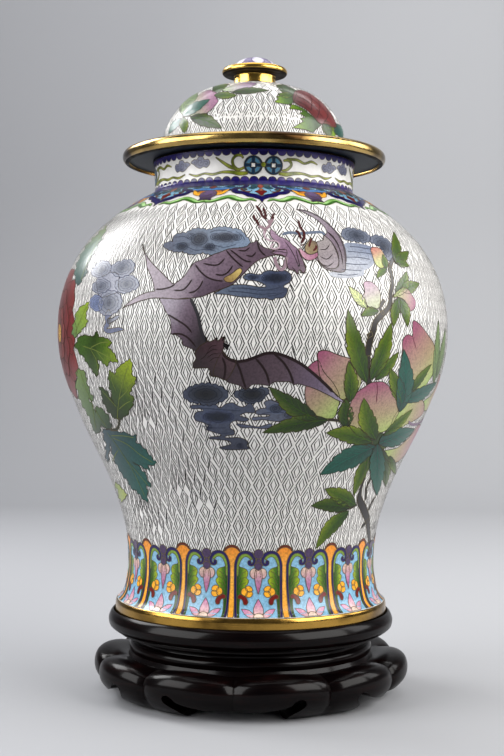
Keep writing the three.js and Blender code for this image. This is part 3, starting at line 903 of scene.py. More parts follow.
def coin(inlay, angle, height, radius=4.9):
    place = on_wall(inlay.wall, angle, height)
    inlay.cell(place, arc(0, 0, radius, 0, 345, 23), even((16, 44, 68)), 3, GRAIN)
    for turn in (45, 135, 225, 315):
        a = math.radians(turn)
        petal = [(radius * 0.8 * math.cos(a + t), radius * 0.8 * math.sin(a + t))
                 for t in np.linspace(-0.55, 0.55, 7)]
        heel = [(radius * 0.42 * math.cos(a + t), radius * 0.42 * math.sin(a + t))
                for t in np.linspace(0.4, -0.4, 4)]
        inlay.cell(place, petal + heel, even((78, 128, 158)), 4, GRAIN, 0.24)
    square = [(-1, -1), (1, -1), (1, 1), (-1, 1)]
    inlay.cell(place, square, even((232, 230, 226)), 5, GRAIN, 0.24)


def ribbon(inlay, place, path, widths, tone, level, dark=None, grain=GRAIN):
    """A band of changing width along a path, with a darker lower edge if asked."""
    line = np.array(smooth_line(path, 5))
    way = np.gradient(line, axis=0)
    way /= np.hypot(way[:, 0], way[:, 1])[:, None]
    across = np.stack([-way[:, 1], way[:, 0]], 1)
    half = np.interp(np.linspace(0, 1, len(line)), np.linspace(0, 1, len(widths)), widths)[:, None] / 2
    upper, lower = line + across * half, line - across * half
    inlay.cell(place, np.vstack([upper, lower[::-1]]), tone, level, grain)
    if dark:
        inlay.field(place, np.vstack([line - across * half * 0.1, lower[::-1]]), dark, level + 1, grain)


def scroll(x, y, radius, start, turns, wind=1, count=22, tail=0.12):
    """A spiral path from outside to inside."""
    made = []
    for k in range(count + 1):
        t = k / count
        a = math.radians(start) + wind * t * turns * 2 * math.pi
        r = radius * mix(1, tail, t)
        made.append((x + r * math.cos(a), y + r * math.sin(a)))
    return made


def neck_cloud(inlay, angle, height, flip=1):
    place = on_wall(inlay.wall, angle, height, 1.0, 0, flip)
    tone = rising([(0, (84, 88, 112)), (1, (130, 132, 156))], -3, 3)
    lobes = closed_curve([(-5.6, -0.4), (-4.6, 1.6), (-2.6, 1.5), (-1.4, 3.0), (1.0, 3.2), (2.4, 1.8),
                          (4.2, 2.0), (6.4, 0.5), (4.6, -0.6), (3.0, -1.9), (0.6, -2.9), (-1.6, -2.2),
                          (-3.8, -2.6)], 4)
    inlay.cell(place, lobes, tone, 2, 1.5)
    for x, y, radius, start, turns, width in ((0.2, 0.3, 2.1, 200, 1.3, 0.24),
                                              (-3.3, -0.5, 1.3, 30, 1.1, 0.22),
                                              (3.6, 0.3, 1.1, 120, 1.1, 0.22)):
        inlay.wire(place, scroll(x, y, radius, start, turns), 4, width, even((48, 50, 74)))


NECK_MIDDLE, NECK_GROUPS, COIN_ANGLE = 5.1, 4, 5.5
UPPER_SCALLOPS, LOWER_SCALLOPS = (290.4, 290.2, 287.9), (274.8, 275.0, 277.4)
NECK_CLOUDS = ((41.0, 284.2, 1), (54.5, 285.0, -1))
LOOPS = {-1: ([(9.8, -1.4), (13.2, -2.6), (15.8, -0.4), (16.2, 2.6), (14.2, 4.6), (11.8, 4.6), (10.6, 3.2)],
              [0.9, 1.5, 1.3, 1.2, 1.3, 1.2, 0.6]),
         1: ([(10.6, 2.4), (13.6, 2.6), (15.0, 0.4), (12.6, -2.2), (9.8, -2.8)], [0.9, 1.4, 1.3, 1.4, 0.8])}
SHORT_TAILS = {-1: ([(12.8, -2.9), (17.7, -1.0), (21.9, 1.6), (25.5, 4.1)], [1.2, 1.7, 1.3, 0.4]),
               1: ([(12.4, 3.2), (18.2, 3.2), (22.6, 1.7), (27.0, 3.0), (31.0, 1.8)],
                   [1.1, 1.3, 1.1, 1.2, 0.4])}
LONG_TAIL = ([(8.2, -4.4), (12.5, -4.6), (17.0, -3.8), (22.0, -3.7), (27.0, -4.6), (32.0, -3.9), (37.0, -4.8),
              (42.0, -3.4)],
             [1.4, 2.1, 1.6, 1.1, 1.2, 0.9, 1.1, 0.4])


def neck_band(inlay):
    wall = inlay.wall
    navy = rippled([(0, NAVY), (1, (40, 32, 106))], 0.09)
    ring = math.pi * NECK_R
    for low, high, level in ((UPPER_SCALLOPS[1], NECK_TOP_Z - 0.1, 2),
                             (NECK_BASE_Z - 0.5, LOWER_SCALLOPS[1], 4)):
        for part in (-1, 1):
            strip = [(0, 0), (part * ring, 0), (part * ring, float(wall.along(high) - wall.along(low))),
                     (0, float(wall.along(high) - wall.along(low)))]
            start = float(wall.along(low))
            inlay.field(lambda x, y, s=start: (np.degrees(x / NECK_R), s + y), strip, navy, level, 0.8)
    scallop_border(inlay, *UPPER_SCALLOPS)
    scallop_border(inlay, *LOWER_SCALLOPS, 0.8)
    olive = rippled([(0, (84, 96, 20)), (0.5, (112, 122, 30)), (1, (140, 148, 52))], 0.7)
    for group in range(NECK_GROUPS):
        middle = NECK_MIDDLE + group * 360 / NECK_GROUPS
        for side in (-1, 1):
            coin(inlay, middle + side * COIN_ANGLE, COIN_Z)
            place = on_wall(wall, middle, NECK_SCROLL_Z, 1.0, 0, side)
            for (path, widths), level in ((LONG_TAIL, 3), (SHORT_TAILS[side], 2), (LOOPS[side], 3)):
                ribbon(inlay, place, path, widths, olive, level)
        inlay.cell(on_wall(wall, middle, NECK_SCROLL_Z), arc(0, 0, 1.3, 0, 340, 10), olive, 6, FINE)
        for across, height, flip in NECK_CLOUDS:
            neck_cloud(inlay, middle + across, height, flip)


def ruyi_head(inlay, angle):
    """Cloud-shaped pendant of the collar, hung from the neck line."""
    place = on_wall(inlay.wall, angle, COLLAR_TOP_Z)
    half = [(0, -22.0), (1.2, -18.8), (4.2, -16.6), (7.2, -15.4), (9.6, -12.8), (13.0, -12.0), (15.2, -9.0),
            (13.8, -5.4), (10.4, -4.4), (8.4, -2.4), (9.0, 0.0)]
    side = smooth_line(half[:2], 2)[:-1] + smooth_line(half[1:], 5)
    outline = side + mirrored(side)[::-1][:-1]
    inlay.cell(place, outline, even(NAVY), 3, WIDE)
    inner = [(0, -15.4), (2.4, -13.0), (5.6, -11.8), (8.0, -9.9), (11.0, -9.3), (12.0, -8.2), (10.8, -6.9),
             (7.8, -5.9), (5.8, -2.9), (6.0, -1.2)]
    side = smooth_line(inner, 4)
    inlay.cell(place, both(side), even(TURQUOISE), 4, WIDE)
    for flip in (1, -1):
        lay = on_wall(inlay.wall, angle, COLLAR_TOP_Z, 0.86, 0, flip)
        inlay.cell(lay, closed_curve([(1.2, -1.0), (5.6, -0.8), (5.4, -4.0), (7.6, -6.8), (5.0, -8.4),
                                      (2.2, -6.2)], 4),
                   even(TEAL), 5, GRAIN)
        inlay.wire(lay, scroll(4.6, -5.0, 2.0, 90, 1.2), 7, 0.26)
        inlay.cell(lay, closed_curve([(12.2, -9.0), (9.6, -7.2), (8.0, -9.0), (9.6, -10.9), (6.0, -11.4),
                                      (5.4, -9.4), (7.0, -12.8), (10.6, -11.0)], 4),
                   even(RED_BROWN), 5, GRAIN)
        inlay.cell(lay, arc(9.9, -8.9, 1.1, 0, 330, 9), even(TEAL), 6, FINE)
    inlay.cell(place, closed_curve([(0, -8.4), (3.0, -9.8), (1.8, -11.6), (0, -14.8), (-1.8, -11.6),
                                    (-3.0, -9.8)], 4),
               even(RED_BROWN), 6, GRAIN)
    inlay.cell(place, arc(0, -8.2, 1.2, 0, 340, 11), even((170, 90, 60)), 7, FINE)
    inlay.cell(place, closed_curve([(0, -0.8), (1.6, -3.2), (0, -6.6), (-1.6, -3.2)], 4), even((150, 60, 40)),
               7, FINE)


def collar_blossom(inlay, angle):
    place = on_wall(inlay.wall, angle, COLLAR_TOP_Z)
    purple = rising([(0, (44, 32, 60)), (1, (104, 84, 120))], -19, -10)
    petals = [(2.0, -9.8), (5.4, -10.2), (9.8, -6.6), (8.6, -11.6), (5.8, -13.4), (3.8, -13.0)]
    for flip in (1, -1):
        lay = on_wall(inlay.wall, angle, COLLAR_TOP_Z, 1.0, 0, flip)
        inlay.cell(lay, smooth_line(petals, 4), even(ORANGE), 5, GRAIN)
        inlay.cell(lay, smooth_line([(2.2, -8.0), (6.2, -8.6), (6.6, -10.4), (3.2, -11.4)], 4),
                   even((206, 120, 40)), 4, GRAIN)
    inlay.cell(place, closed_curve([(0, -8.0), (3.4, -9.4), (4.6, -13.2), (3.0, -16.6), (3.4, -19.4),
                                    (0, -18.2), (-3.4, -19.4), (-3.0, -16.6), (-4.6, -13.2), (-3.4, -9.4)],
                                    4), purple, 6, WIDE)
    for half, y, drop in ((2.8, -12.2, -13.8), (2.2, -15.6, -16.8)):
        inlay.wire(place, smooth_line([(-half, y), (0, drop), (half, y)], 4), 8, 0.28)


def collar_band(inlay):
    wall = inlay.wall
    pitch = 360 / HEADS
    radius = float(wall.radius(wall.along(NECK_BASE_Z - 3.0)))
    half = math.radians(pitch / 2) * radius
    pale_green = rippled([(0, (112, 162, 78)), (1, (164, 206, 132))], 0.45)
    for i in range(HEADS):
        angle = HEAD_ANGLE + i * pitch
        between = angle + pitch / 2
        band = on_wall(wall, between, COLLAR_TOP_Z)
        for top, edge, share, bend, drop, tone, level in ((0, -6.4, 0.45, -8.4, -9.4, NAVY, 1),
                                                          (-1.2, -4.8, 0.4, -6.9, -7.8, (58, 116, 178), 2)):
            inlay.cell(band, [(-half, top), (half, top), (half, edge), (half * share, bend), (0, drop),
                              (-half * share, bend), (-half, edge)], even(tone), level, WIDE)
        for x in (-13.5, -9.0, -4.0, 4.0, 9.0, 13.5):
            shade = TURQUOISE if abs(x) in (4.0, 13.5) else TEAL
            inlay.cell(band, closed_curve([(x - 2.3, -2.2), (x, -1.7), (x + 2.3, -2.4), (x + 1.4, -4.6),
                                           (x - 1.2, -4.4)], 4),
                       even(shade), 3, GRAIN, 0.26)
            inlay.wire(band, scroll(x, -3.4, 1.6, 20, 1.1), 5, 0.26, even((20, 30, 60)))
        inlay.cell(band, closed_curve([(0, -1.6), (2.2, -3.6), (0, -5.6), (-2.2, -3.6)], 4), even(RED_BROWN),
                   4, GRAIN)
        collar_blossom(inlay, between)
        for flip in (1, -1):
            lay = on_wall(wall, between, COLLAR_TOP_Z, 1.0, 0, flip)
            wave = [(0.0, -19.6), (4.2, -20.0), (8.4, -17.2), (12.4, -15.4), (16.4, -17.8), (20.4, -19.4),
                    (24.0, -18.4), (27.4, -20.6)]
            ribbon(inlay, lay, wave, [2.4, 3.2, 3.8, 3.8, 3.8, 3.2, 2.2, 0.4], pale_green, 2,
                   even((52, 98, 30)))
    for i in range(HEADS):
        ruyi_head(inlay, HEAD_ANGLE + i * pitch)


def leaf_ramp(x_dark, x_light):
    return graded([(0, (22, 62, 14)), (0.45, (60, 104, 22)), (1, (150, 166, 34))],
                  lambda x, y: np.clip((x - x_dark) / (x_light - x_dark), 0, 1))


def foot_panel(inlay, angle):
    wall = inlay.wall
    place = on_wall(wall, angle, FOOT_BAND_Z)
    edge_half = [(12.2, 0), (12.2, 22.0), (12.1, 27.0), (11.2, 31.2), (8.6, 33.8), (5.4, 34.0), (2.6, 32.2),
                 (1.3, 29.6)]
    side = smooth_line(edge_half, 4)
    inlay.field(place, side + [(0.0, 28.4)] + mirrored(side)[::-1], even(TURQUOISE), 1, 2.2)
    lotus(inlay, place)
    for flip in (1, -1):
        lay = on_wall(wall, angle, FOOT_BAND_Z, 1.0, 0, flip)
        leaf = smooth_line([(10.9, 0), (11.2, 10), (11.3, 25.8), (9.2, 25.9), (6.3, 24.9), (5.3, 22.9),
                            (6.0, 20.4)], 4)[:-1]
        leaf += smooth_line([(6.0, 20.4), (4.9, 19.2), (5.6, 17.2), (6.6, 16.4)], 3)[:-1]
        leaf += smooth_line([(6.6, 16.4), (6.2, 15.2), (7.4, 13.4), (8.6, 12.2), (9.6, 8.0), (9.9, 0)], 4)
        inlay.cell(lay, leaf, leaf_ramp(10.8, 5.6), 2, GRAIN)
        for y in (24.0, 21.2, 18.4, 15.8):
            inlay.wire(lay, smooth_line([(9.9, y - 4.4), (8.4, y - 1.4), (6.2, y - 0.2)], 4), 4, 0.26)
        outer = smooth_line([(12.3, 0), (12.3, 22), (12.1, 28.2), (10.2, 32.8), (6.8, 34.4), (3.4, 33.4),
                             (1.5, 30.6), (1.7, 27.8), (3.4, 26.5), (5.2, 27.2), (5.4, 29.0), (4.2, 29.6)], 5)
        inner = smooth_line([(3.6, 28.6), (3.7, 27.9), (3.0, 28.2), (2.9, 29.9), (4.4, 31.9), (6.8, 32.8),
                             (9.4, 31.6), (10.9, 27.6), (11.1, 22), (11.1, 0)], 5)
        green = smooth_line([(3.1, 30.4), (4.6, 32.0), (6.8, 32.8), (9.4, 31.6), (10.9, 27.6), (11.1, 22),
                             (10.2, 22), (9.8, 27.0), (8.4, 30.2), (6.6, 31.3), (4.9, 30.6), (3.9, 29.4)], 4)
        inlay.cell(lay, green, even((112, 144, 48)), 3, GRAIN)
        inlay.cell(lay, outer + inner, even(NAVY), 4, GRAIN)
        comma = smooth_line([(10.4, 11.6), (8.4, 12.2), (6.2, 10.6), (5.3, 8.6), (6.0, 7.0), (7.4, 7.2),
                             (7.9, 8.8), (8.6, 9.8), (10.4, 10.0)], 4)
        inlay.cell(lay, comma, even(RED_BROWN), 5, FINE)
        for x, y, wide, tall, lean in ((4.7, 14.9, 1.5, 1.9, 30), (4.6, 12.3, 1.5, 1.9, -30),
                                       (7.0, 13.4, 1.7, 2.1, 95)):
            inlay.cell(lay, oval(x, y, wide, tall, lean + 90), even(ORANGE), 5, FINE)
    hanging_bud(inlay, place)


def lotus(inlay, place):
    petal_tone = graded([(0, (206, 176, 168)), (1, (184, 100, 156))],
                        lambda x, y: np.clip(np.hypot(x, y) / 9.0 - 0.15, 0, 1))
    for flip in (1, -1):
        side = [(flip * x, y) for x, y in smooth_line([(1.2, 0.0), (3.4, 3.2), (5.6, 4.6), (8.7, 4.9)], 4)
                + smooth_line([(8.7, 4.9), (7.2, 2.4), (5.4, 0.6), (4.2, 0.0)], 4)]
        inlay.cell(place, side, petal_tone, 2, GRAIN)
    top = smooth_line([(-2.4, 2.2), (-2.5, 4.8), (-1.2, 8.0), (0, 10.0)], 4)
    inlay.cell(place, both(top), petal_tone, 3, GRAIN)
    inlay.cell(place, arc(0, 0, 2.7, 0, 180, 10), even((216, 192, 176)), 4, FINE)


def hanging_bud(inlay, place):
    beige = rising([(0, (172, 128, 142)), (1, (206, 178, 160))], 19, 25)
    mauve = rising([(0, (150, 70, 120)), (0.5, (168, 116, 146)), (1, (206, 172, 160))], 12, 25)
    for flip in (1, -1):
        side = [(flip * x, y) for x, y in smooth_line([(0.6, 25.6), (3.4, 24.9), (4.3, 22.4), (2.9, 20.2),
                                                       (1.2, 20.4)], 4)]
        inlay.cell(place, side, beige, 5, FINE)
    body = smooth_line([(0.0, 12.2), (1.2, 16.2), (1.9, 21.0), (1.5, 24.2), (0, 25.6)], 4)
    inlay.cell(place, both(body), mauve, 6, FINE)
    inlay.cell(place, [(1.0, 32.5), (0.9, 29.8), (1.5, 28.2), (2.6, 26.8), (-2.6, 26.8), (-1.5, 28.2),
                       (-0.9, 29.8), (-1.0, 32.5)],
               even(PURPLE), 3, FINE)
    inlay.cell(place, arc(0, 32.7, 2.5, 0, 345, 18), even(PURPLE), 5, FINE)
    inlay.cell(place, [(1.9, 27.6), (1.9, 25.4), (0, 24.2), (-1.9, 25.4), (-1.9, 27.6), (0, 28.4)],
               even(PURPLE), 7, FINE)


def foot_pillar(inlay, angle):
    place = on_wall(inlay.wall, angle, FOOT_BAND_Z)
    half = smooth_line([(1.4, 0), (1.45, 16), (1.6, 23), (2.2, 28.5), (3.6, 32.4), (4.4, 33.6)], 5)
    cap = arc(0, 33.0, 4.4, 8, 172, 10)
    inlay.cell(place, half + cap + mirrored(half)[::-1],
               rising([(0, (226, 150, 40)), (0.6, (232, 168, 70)), (1, (214, 130, 34))], 0, 35),
               2, GRAIN)
    inlay.cell(place, cap + arc(0, 32.0, 4.1, 150, 30, 8), even((92, 30, 16)), 3, GRAIN)


def foot_band(inlay):
    pitch = 360 / PANELS
    for i in range(PANELS):
        foot_pillar(inlay, PANEL_ANGLE + (i + 0.5) * pitch)
    for i in range(PANELS):
        foot_panel(inlay, PANEL_ANGLE + i * pitch)


def jar_bands():
    wall = Wall(jar_line())
    neck = Inlay(wall)
    neck_band(neck)
    neck.piece("neck_band", "jar_body")
    collar = Inlay(wall, 1)
    collar_band(collar)
    collar.piece("collar_band", "jar_body")
    foot = Inlay(wall, 1)
    foot_band(foot)
    foot.piece("foot_band", "jar_body")
    ground = Inlay(wall)
    low, high = float(wall.along(FOOT_EDGE_Z + GROUND_START)), float(wall.along(NECK_BASE_Z)) - GROUND_END
    lozenges(ground, low, high, NARROW_PITCH, WIDE_PITCH, LOZENGE, JAR_SEED)
    ground.piece("jar_lozenges", "jar_body")


# Pictures. Every outline is a list of pixels of the 504 x 756 photograph.

FIGURE_WIRE, BONE = even((52, 42, 28)), even((34, 22, 24))
FIGURE_GRAIN, STROKE_STEP, FIGURE_PEN, THIN_PEN, CLOUD_PEN, BOLD_PEN = 2.2, 1.2, 0.34, 0.24, 0.36, 0.4
BACK = 180.0


def toward(stops, start, end):
    """A tone that runs from one flat point to another."""
    ax, ay = end[0] - start[0], end[1] - start[1]
    size = ax * ax + ay * ay
    return graded(stops, lambda x, y: np.clip(((x - start[0]) * ax + (y - start[1]) * ay) / size, 0, 1))


def figure(sheet, outline, stops, start, end, level, curved=True, wire=FIGURE_WIRE,
           width=FIGURE_PEN):
    flat = sheet.flat(list(outline) + [start, end])
    line = closed_curve(flat[:-2], 4) if curved else flat[:-2]
    tone = toward(stops, flat[-2], flat[-1])
    sheet.field(sheet.place, line, tone, level, FIGURE_GRAIN)
    if wire:
        sheet.wire(sheet.place, line, level + 1, width, wire, True)


def puffed(points, size, bulge=0.24):
    """Breaks a closed outline in pixels into small round lobes."""
    p = np.array(closed_curve(points, 6))
    p = np.vstack([p, p[:1]])
    run = np.concatenate([[0.0], np.cumsum(np.hypot(*np.diff(p, axis=0).T))])
    at = np.linspace(0, run[-1], max(5, round(run[-1] / size)) + 1)
    knots = np.stack([np.interp(at, run, p[:, 0]), np.interp(at, run, p[:, 1])], 1)
    x, y = knots[:-1].T
    turn = np.sign(np.sum(x * np.roll(y, -1) - np.roll(x, -1) * y))
    made = []
    for a, b in zip(knots[:-1], knots[1:]):
        across = np.array([b[1] - a[1], a[0] - b[0]]) * turn * bulge
        made += [tuple(mix(a, b, t) + across * math.sin(math.pi * t)) for t in (0, 0.2, 0.4, 0.6, 0.8)]
    return made


def puff(sheet, outline, stops, level, size=6.0, line=(44, 50, 68)):
    """One lobed cloud: dark in the middle, with wires that follow its outline inward."""
    flat = np.array(sheet.flat(puffed(outline, size)))
    middle = flat.mean(0)
    reach = np.abs(flat - middle).max(0)
    tone = graded(stops, lambda x, y: np.clip(np.hypot((x - middle[0]) / reach[0],
                                                       (y - middle[1]) / reach[1]), 0, 1))
    sheet.field(sheet.place, flat, tone, level, GRAIN)
    sheet.wire(sheet.place, flat, level + 1, CLOUD_PEN, even(line), True)
    for share in (0.74, 0.5):
        sheet.wire(sheet.place, middle + (flat - middle) * share, level + 1, THIN_PEN, even(line), True,
                   step=STROKE_STEP)
    sheet.wire(sheet.place, scroll(middle[0], middle[1], reach.min() * 0.34, 40, 1.4), level + 1, THIN_PEN,
               even(line), step=1.0)


def strokes(sheet, paths, level, width=BOLD_PEN, tone=BONE, taper=True):
    for path in paths:
        line = smooth_line(sheet.flat(path), 5) if len(path) > 2 else sheet.flat(path)
        sheet.wire(sheet.place, line, level, width, tone, taper=taper, step=STROKE_STEP)


def glow(sheet, middle, wide, tall, dark, pale, level, turn=0):
    """An oval of dark enamel that melts into the tone round it."""
    ring = sheet.flat(oval(middle[0], middle[1], wide, tall, turn, 20))
    x0, y0 = np.mean(ring, 0)
    reach_x, reach_y = np.abs(np.array(ring) - (x0, y0)).max(0)
    tone = graded([(0, dark), (0.5, dark), (1, pale)],
                  lambda x, y: np.clip(np.hypot((x - x0) / reach_x, (y - y0) / reach_y), 0, 1))
    sheet.field(sheet.place, ring, tone, level, GRAIN)


GREEN_LEAF = [(0, (16, 38, 8)), (0.35, (40, 64, 8)), (0.7, (80, 98, 8)), (1, (124, 136, 24))]
DARK_LEAF = [(0, (10, 24, 6)), (0.5, (30, 52, 6)), (1, (80, 96, 10))]
TEAL_LEAF = [(0, (14, 36, 32)), (0.4, (18, 66, 56)), (1, (28, 80, 66))]
PALE_LEAF = [(0, (96, 114, 70)), (0.5, (146, 154, 100)), (1, (176, 176, 136))]
GREY_LEAF = [(0, (66, 86, 54)), (1, (110, 128, 84))]


LEAF_FULLNESS, LEAF_TIP_SHARE, LEAF_VEINS_FROM, LEAF_VEINS_OVER = 0.58, 0.86, 0.14, 0.62


def leaf(sheet, base, tip, width, stops, level, bow=0.0, teeth=5, veins=4):
    """A toothed leaf in pixels from base to tip, with a rib and side veins of wire."""
    ax, ay = tip[0] - base[0], tip[1] - base[1]
    size = math.hypot(ax, ay)
    ax, ay = ax / size, ay / size

    def at(t, side):
        curve = bow * math.sin(math.pi * t)
        return (base[0] + ax * size * t - ay * (side + curve), base[1] + ay * size * t + ax * (side + curve))

    def half(t):
        return width * LEAF_FULLNESS * math.sin(math.pi * min(1.0, t * 0.97 + 0.03) ** 0.84)

    sides = []
    for sign in (1, -1):
        side = []
        for k in range(teeth):
            t0, t1 = LEAF_TIP_SHARE * k / teeth, LEAF_TIP_SHARE * (k + 1) / teeth
            side += [at(mix(t0, t1, 0.08), sign * half(mix(t0, t1, 0.1)) * (0.9 if k else 0.6)),
                     at(mix(t0, t1, 0.5), sign * half(mix(t0, t1, 0.5)) * 1.03),
                     at(mix(t0, t1, 1.0), sign * half(mix(t0, t1, 0.94)) * 1.08)]
        sides.append(side)
    outline = [at(0, 0)] + sides[0] + [at(1, 0)] + sides[1][::-1]
    flat = sheet.flat(outline + [base, tip])
    lo, hi = flat[-2], flat[-1]
    bx, by = hi[0] - lo[0], hi[1] - lo[1]
    span = math.hypot(bx, by)
    reach = max(abs((x - lo[0]) * by - (y - lo[1]) * bx) / span for x, y in flat[:-2])

    def value(x, y):
        along = ((x - lo[0]) * bx + (y - lo[1]) * by) / span ** 2
        off = np.abs((x - lo[0]) * by - (y - lo[1]) * bx) / span / max(reach, 1e-6)
        return np.clip(along * 0.6 + off * 0.55, 0, 1)
    sheet.field(sheet.place, flat[:-2], graded(stops, value), level, 1.8)
    sheet.wire(sheet.place, flat[:-2], level + 1, PEN, FIGURE_WIRE, True)
    rib = [at(t, 0) for t in (0, 0.25, 0.5, 0.75, 0.96)]
    vein_tone = even(tuple(min(255, c * 1.25 + 14) for c in stops[1][1]))
    strokes(sheet, [rib], level + 1, FIGURE_PEN, vein_tone)
    for k in range(veins):
        t = LEAF_VEINS_FROM + LEAF_VEINS_OVER * k / veins
        for sign in (1, -1):
            strokes(sheet, [[at(t, 0), at(t + 0.1, sign * half(t) * 0.45),
                             at(t + 0.17, sign * half(t + 0.1) * 0.8)]],
                    level + 1, 0.24, vein_tone)


def oval(x, y, half_w, half_h, turn=0, count=14):
    c, d = math.cos(math.radians(turn)), math.sin(math.radians(turn))
    made = []
    for k in range(count):
        a = 2 * math.pi * k / count
        u, v = half_w * math.cos(a), half_h * math.sin(a)
        made.append((x + u * c - v * d, y + u * d + v * c))
    return made


PEACH = [
    (0, (130, 58, 92)), (0.14, (136, 78, 98)), (0.34, (146, 112, 106)), (0.62, (148, 132, 102)),
    (0.86, (150, 158, 98)), (1, (138, 160, 88)),
]

# Clouds
CLOUD_TOP = [
    (163, 245), (167, 242), (171, 242), (175, 240), (172, 237.5), (175, 234.5), (181, 233), (187, 232.5),
    (190, 230.5), (194, 228.5), (199, 228), (206, 229.5), (211, 229.5), (214, 227.5), (220, 227),
    (226, 226.5), (231, 228.5), (237, 228.5), (242, 231), (245, 235), (248, 239), (251, 241), (250, 244.5),
    (246, 246), (238, 247), (230, 248), (225, 250), (222, 252), (216, 254), (208, 253.5), (203, 252),
    (199, 253), (193, 254), (187, 253), (184, 250.5), (178, 251.5), (172, 250.5), (170, 248.5), (165, 248),
]
CLOUD_MIDDLE = [
    (243, 277), (247, 273.5), (252, 273), (257, 274.5), (261, 274), (264, 271.5), (270, 270), (277, 271),
    (284, 270), (290, 273), (292, 277), (290, 282), (285, 285), (284, 287), (288, 289), (286, 295),
    (282, 298), (276, 298), (272, 300), (266, 298), (258, 298.5), (250, 297), (242, 297), (235, 296),
    (228, 294.5), (222, 294), (214, 293.5), (220, 290), (228, 286), (235, 284.5), (245, 284.5), (255, 286),
    (262, 287), (266, 286), (262, 283), (254, 280.5), (247, 280),
]
CLOUD_LEFT_PUFFS = [
    [(91, 272), (95, 267), (98, 263), (104, 261), (109, 263), (110, 268), (108, 273), (103, 276), (97, 277),
     (94, 275.5)],
    [(111, 268), (114, 264), (120, 262), (126, 260), (132, 261), (134, 265), (132, 270), (128, 274),
     (121, 276), (114, 275)],
    [(92, 287), (94, 283), (99, 280), (106, 280), (110, 283), (109, 288), (104, 291), (99, 293), (95, 292)],
    [(115, 284), (118, 280), (124, 277), (131, 276), (137, 280), (138, 286), (134, 289), (129, 290),
     (124, 293), (118, 291)],
    [(99, 302), (101, 296), (106, 292), (113, 291), (119, 295), (121, 301), (119, 308), (113, 313),
     (106, 315), (100, 312)],
    [(90, 303), (92, 297), (97, 295), (101, 298), (101, 309), (96, 311), (92, 308)],
]
CLOUD_LEFT_BODY = [
    (97, 278), (103, 276), (110, 272), (118, 274), (118, 282), (118, 291), (112, 294), (100, 297), (96, 284),
]
CLOUD_LEFT_TAIL = [
    (110, 312), (106, 318), (108, 323), (104.5, 328), (108, 331), (115, 330), (121, 329), (126, 331),
]
CLOUD_LEFT_HOOK = [(107, 319), (112, 318), (116, 315.5), (119, 316), (117, 319), (112, 322), (108, 324)]
CLOUD_RIGHT_HAZE = [
    (345, 243), (358, 243), (371, 246), (380, 252), (372, 266), (365, 270), (364, 275), (356, 277),
    (345, 278), (335, 277), (329, 273), (338, 270), (343, 262), (344, 252),
]
CLOUD_RIGHT_PUFFS = [
    [(342, 232), (344, 229), (350, 228), (356, 229.5), (362, 231), (368, 234), (371, 238), (369, 241.5),
     (362, 241.5), (354, 240), (347, 239), (343, 236.5)],
    [(370, 240), (373, 236), (377, 235), (382, 237), (388, 240), (391, 244), (393, 250), (392, 256),
     (390, 262), (387, 256), (384, 250), (380, 245), (375, 243)],
]
CLOUD_LOW_PUFFS = [
    [(183, 395), (186, 390), (192, 387), (198, 385), (206, 384), (213, 385), (220, 387), (226, 391),
     (228, 395), (226, 399), (220, 401), (214, 404), (206, 405), (200, 403), (192, 402), (186, 399)],
    [(234, 394), (238, 391), (243, 391), (248, 389), (254, 390), (260, 388.5), (266, 388), (269, 391),
     (268, 395), (263, 396), (262, 400), (256, 402), (248, 403), (241, 400), (236, 397)],
]
CLOUD_LOW_BODY = [
    (190, 406), (198, 405), (206, 405), (214, 404), (220, 408), (226, 404), (233, 403), (238, 406),
    (244, 407), (250, 403), (254, 408), (255, 413), (246, 413), (240, 416), (247, 418), (249, 420),
    (244, 422), (236, 421), (231, 423), (230, 428), (234, 431), (234, 435), (227, 436), (226, 438),
    (240, 438), (248, 442), (247, 446), (250, 449), (240, 450), (226, 450), (219, 448), (226, 446),
    (231, 444), (227, 441), (218, 440), (209, 439), (211, 437), (218, 436.5), (221, 435), (212, 432),
    (206, 430), (208, 426), (203, 423), (196, 421), (194, 416), (197, 412), (203, 411), (200, 409),
    (192, 409),
]
CLOUD_LOW_SIDE = [
    (255, 412), (260, 409), (266, 408), (264, 403), (267, 401), (271, 400), (276, 402), (282, 405),
    (286, 410), (290, 414), (298, 416), (306, 418), (300, 420), (290, 421), (280, 422), (270, 421),
    (262, 420), (254, 421), (252, 418), (258, 417), (266, 417), (270, 415.5), (264, 415), (258, 415),
]
CLOUD_LOW_BAR = [
    (236, 424), (246, 425), (258, 427), (266, 425), (272, 424), (270, 428), (262, 429), (252, 428),
    (242, 428),
]
CLOUD_LINES = [
    [(172, 246), (180, 243), (188, 247), (196, 250), (206, 249), (216, 251)],
    [(176, 237), (183, 236), (189, 239)], [(205, 247), (214, 245), (224, 247), (236, 244)],
    [(236, 231), (242, 235), (245, 240)], [(210, 232), (216, 230), (224, 230), (232, 232)],
    [(232, 288), (246, 288), (260, 290), (272, 289), (281, 287)],
    [(228, 291), (244, 292), (260, 294), (276, 293)], [(246, 276), (252, 276), (258, 278)],
    [(268, 296), (276, 295), (284, 292)], [(350, 246), (360, 247), (372, 249)],
    [(348, 251), (360, 252), (374, 254)], [(347, 257), (358, 257), (370, 259)],
    [(345, 263), (356, 264), (368, 264)], [(342, 269), (354, 270), (362, 270)],
    [(338, 274), (348, 275), (358, 274)], [(198, 408), (210, 409), (224, 410), (240, 411)],
    [(200, 426), (212, 428), (226, 428)], [(214, 433), (222, 434), (230, 433)],
    [(262, 414), (274, 412), (284, 413)],
]


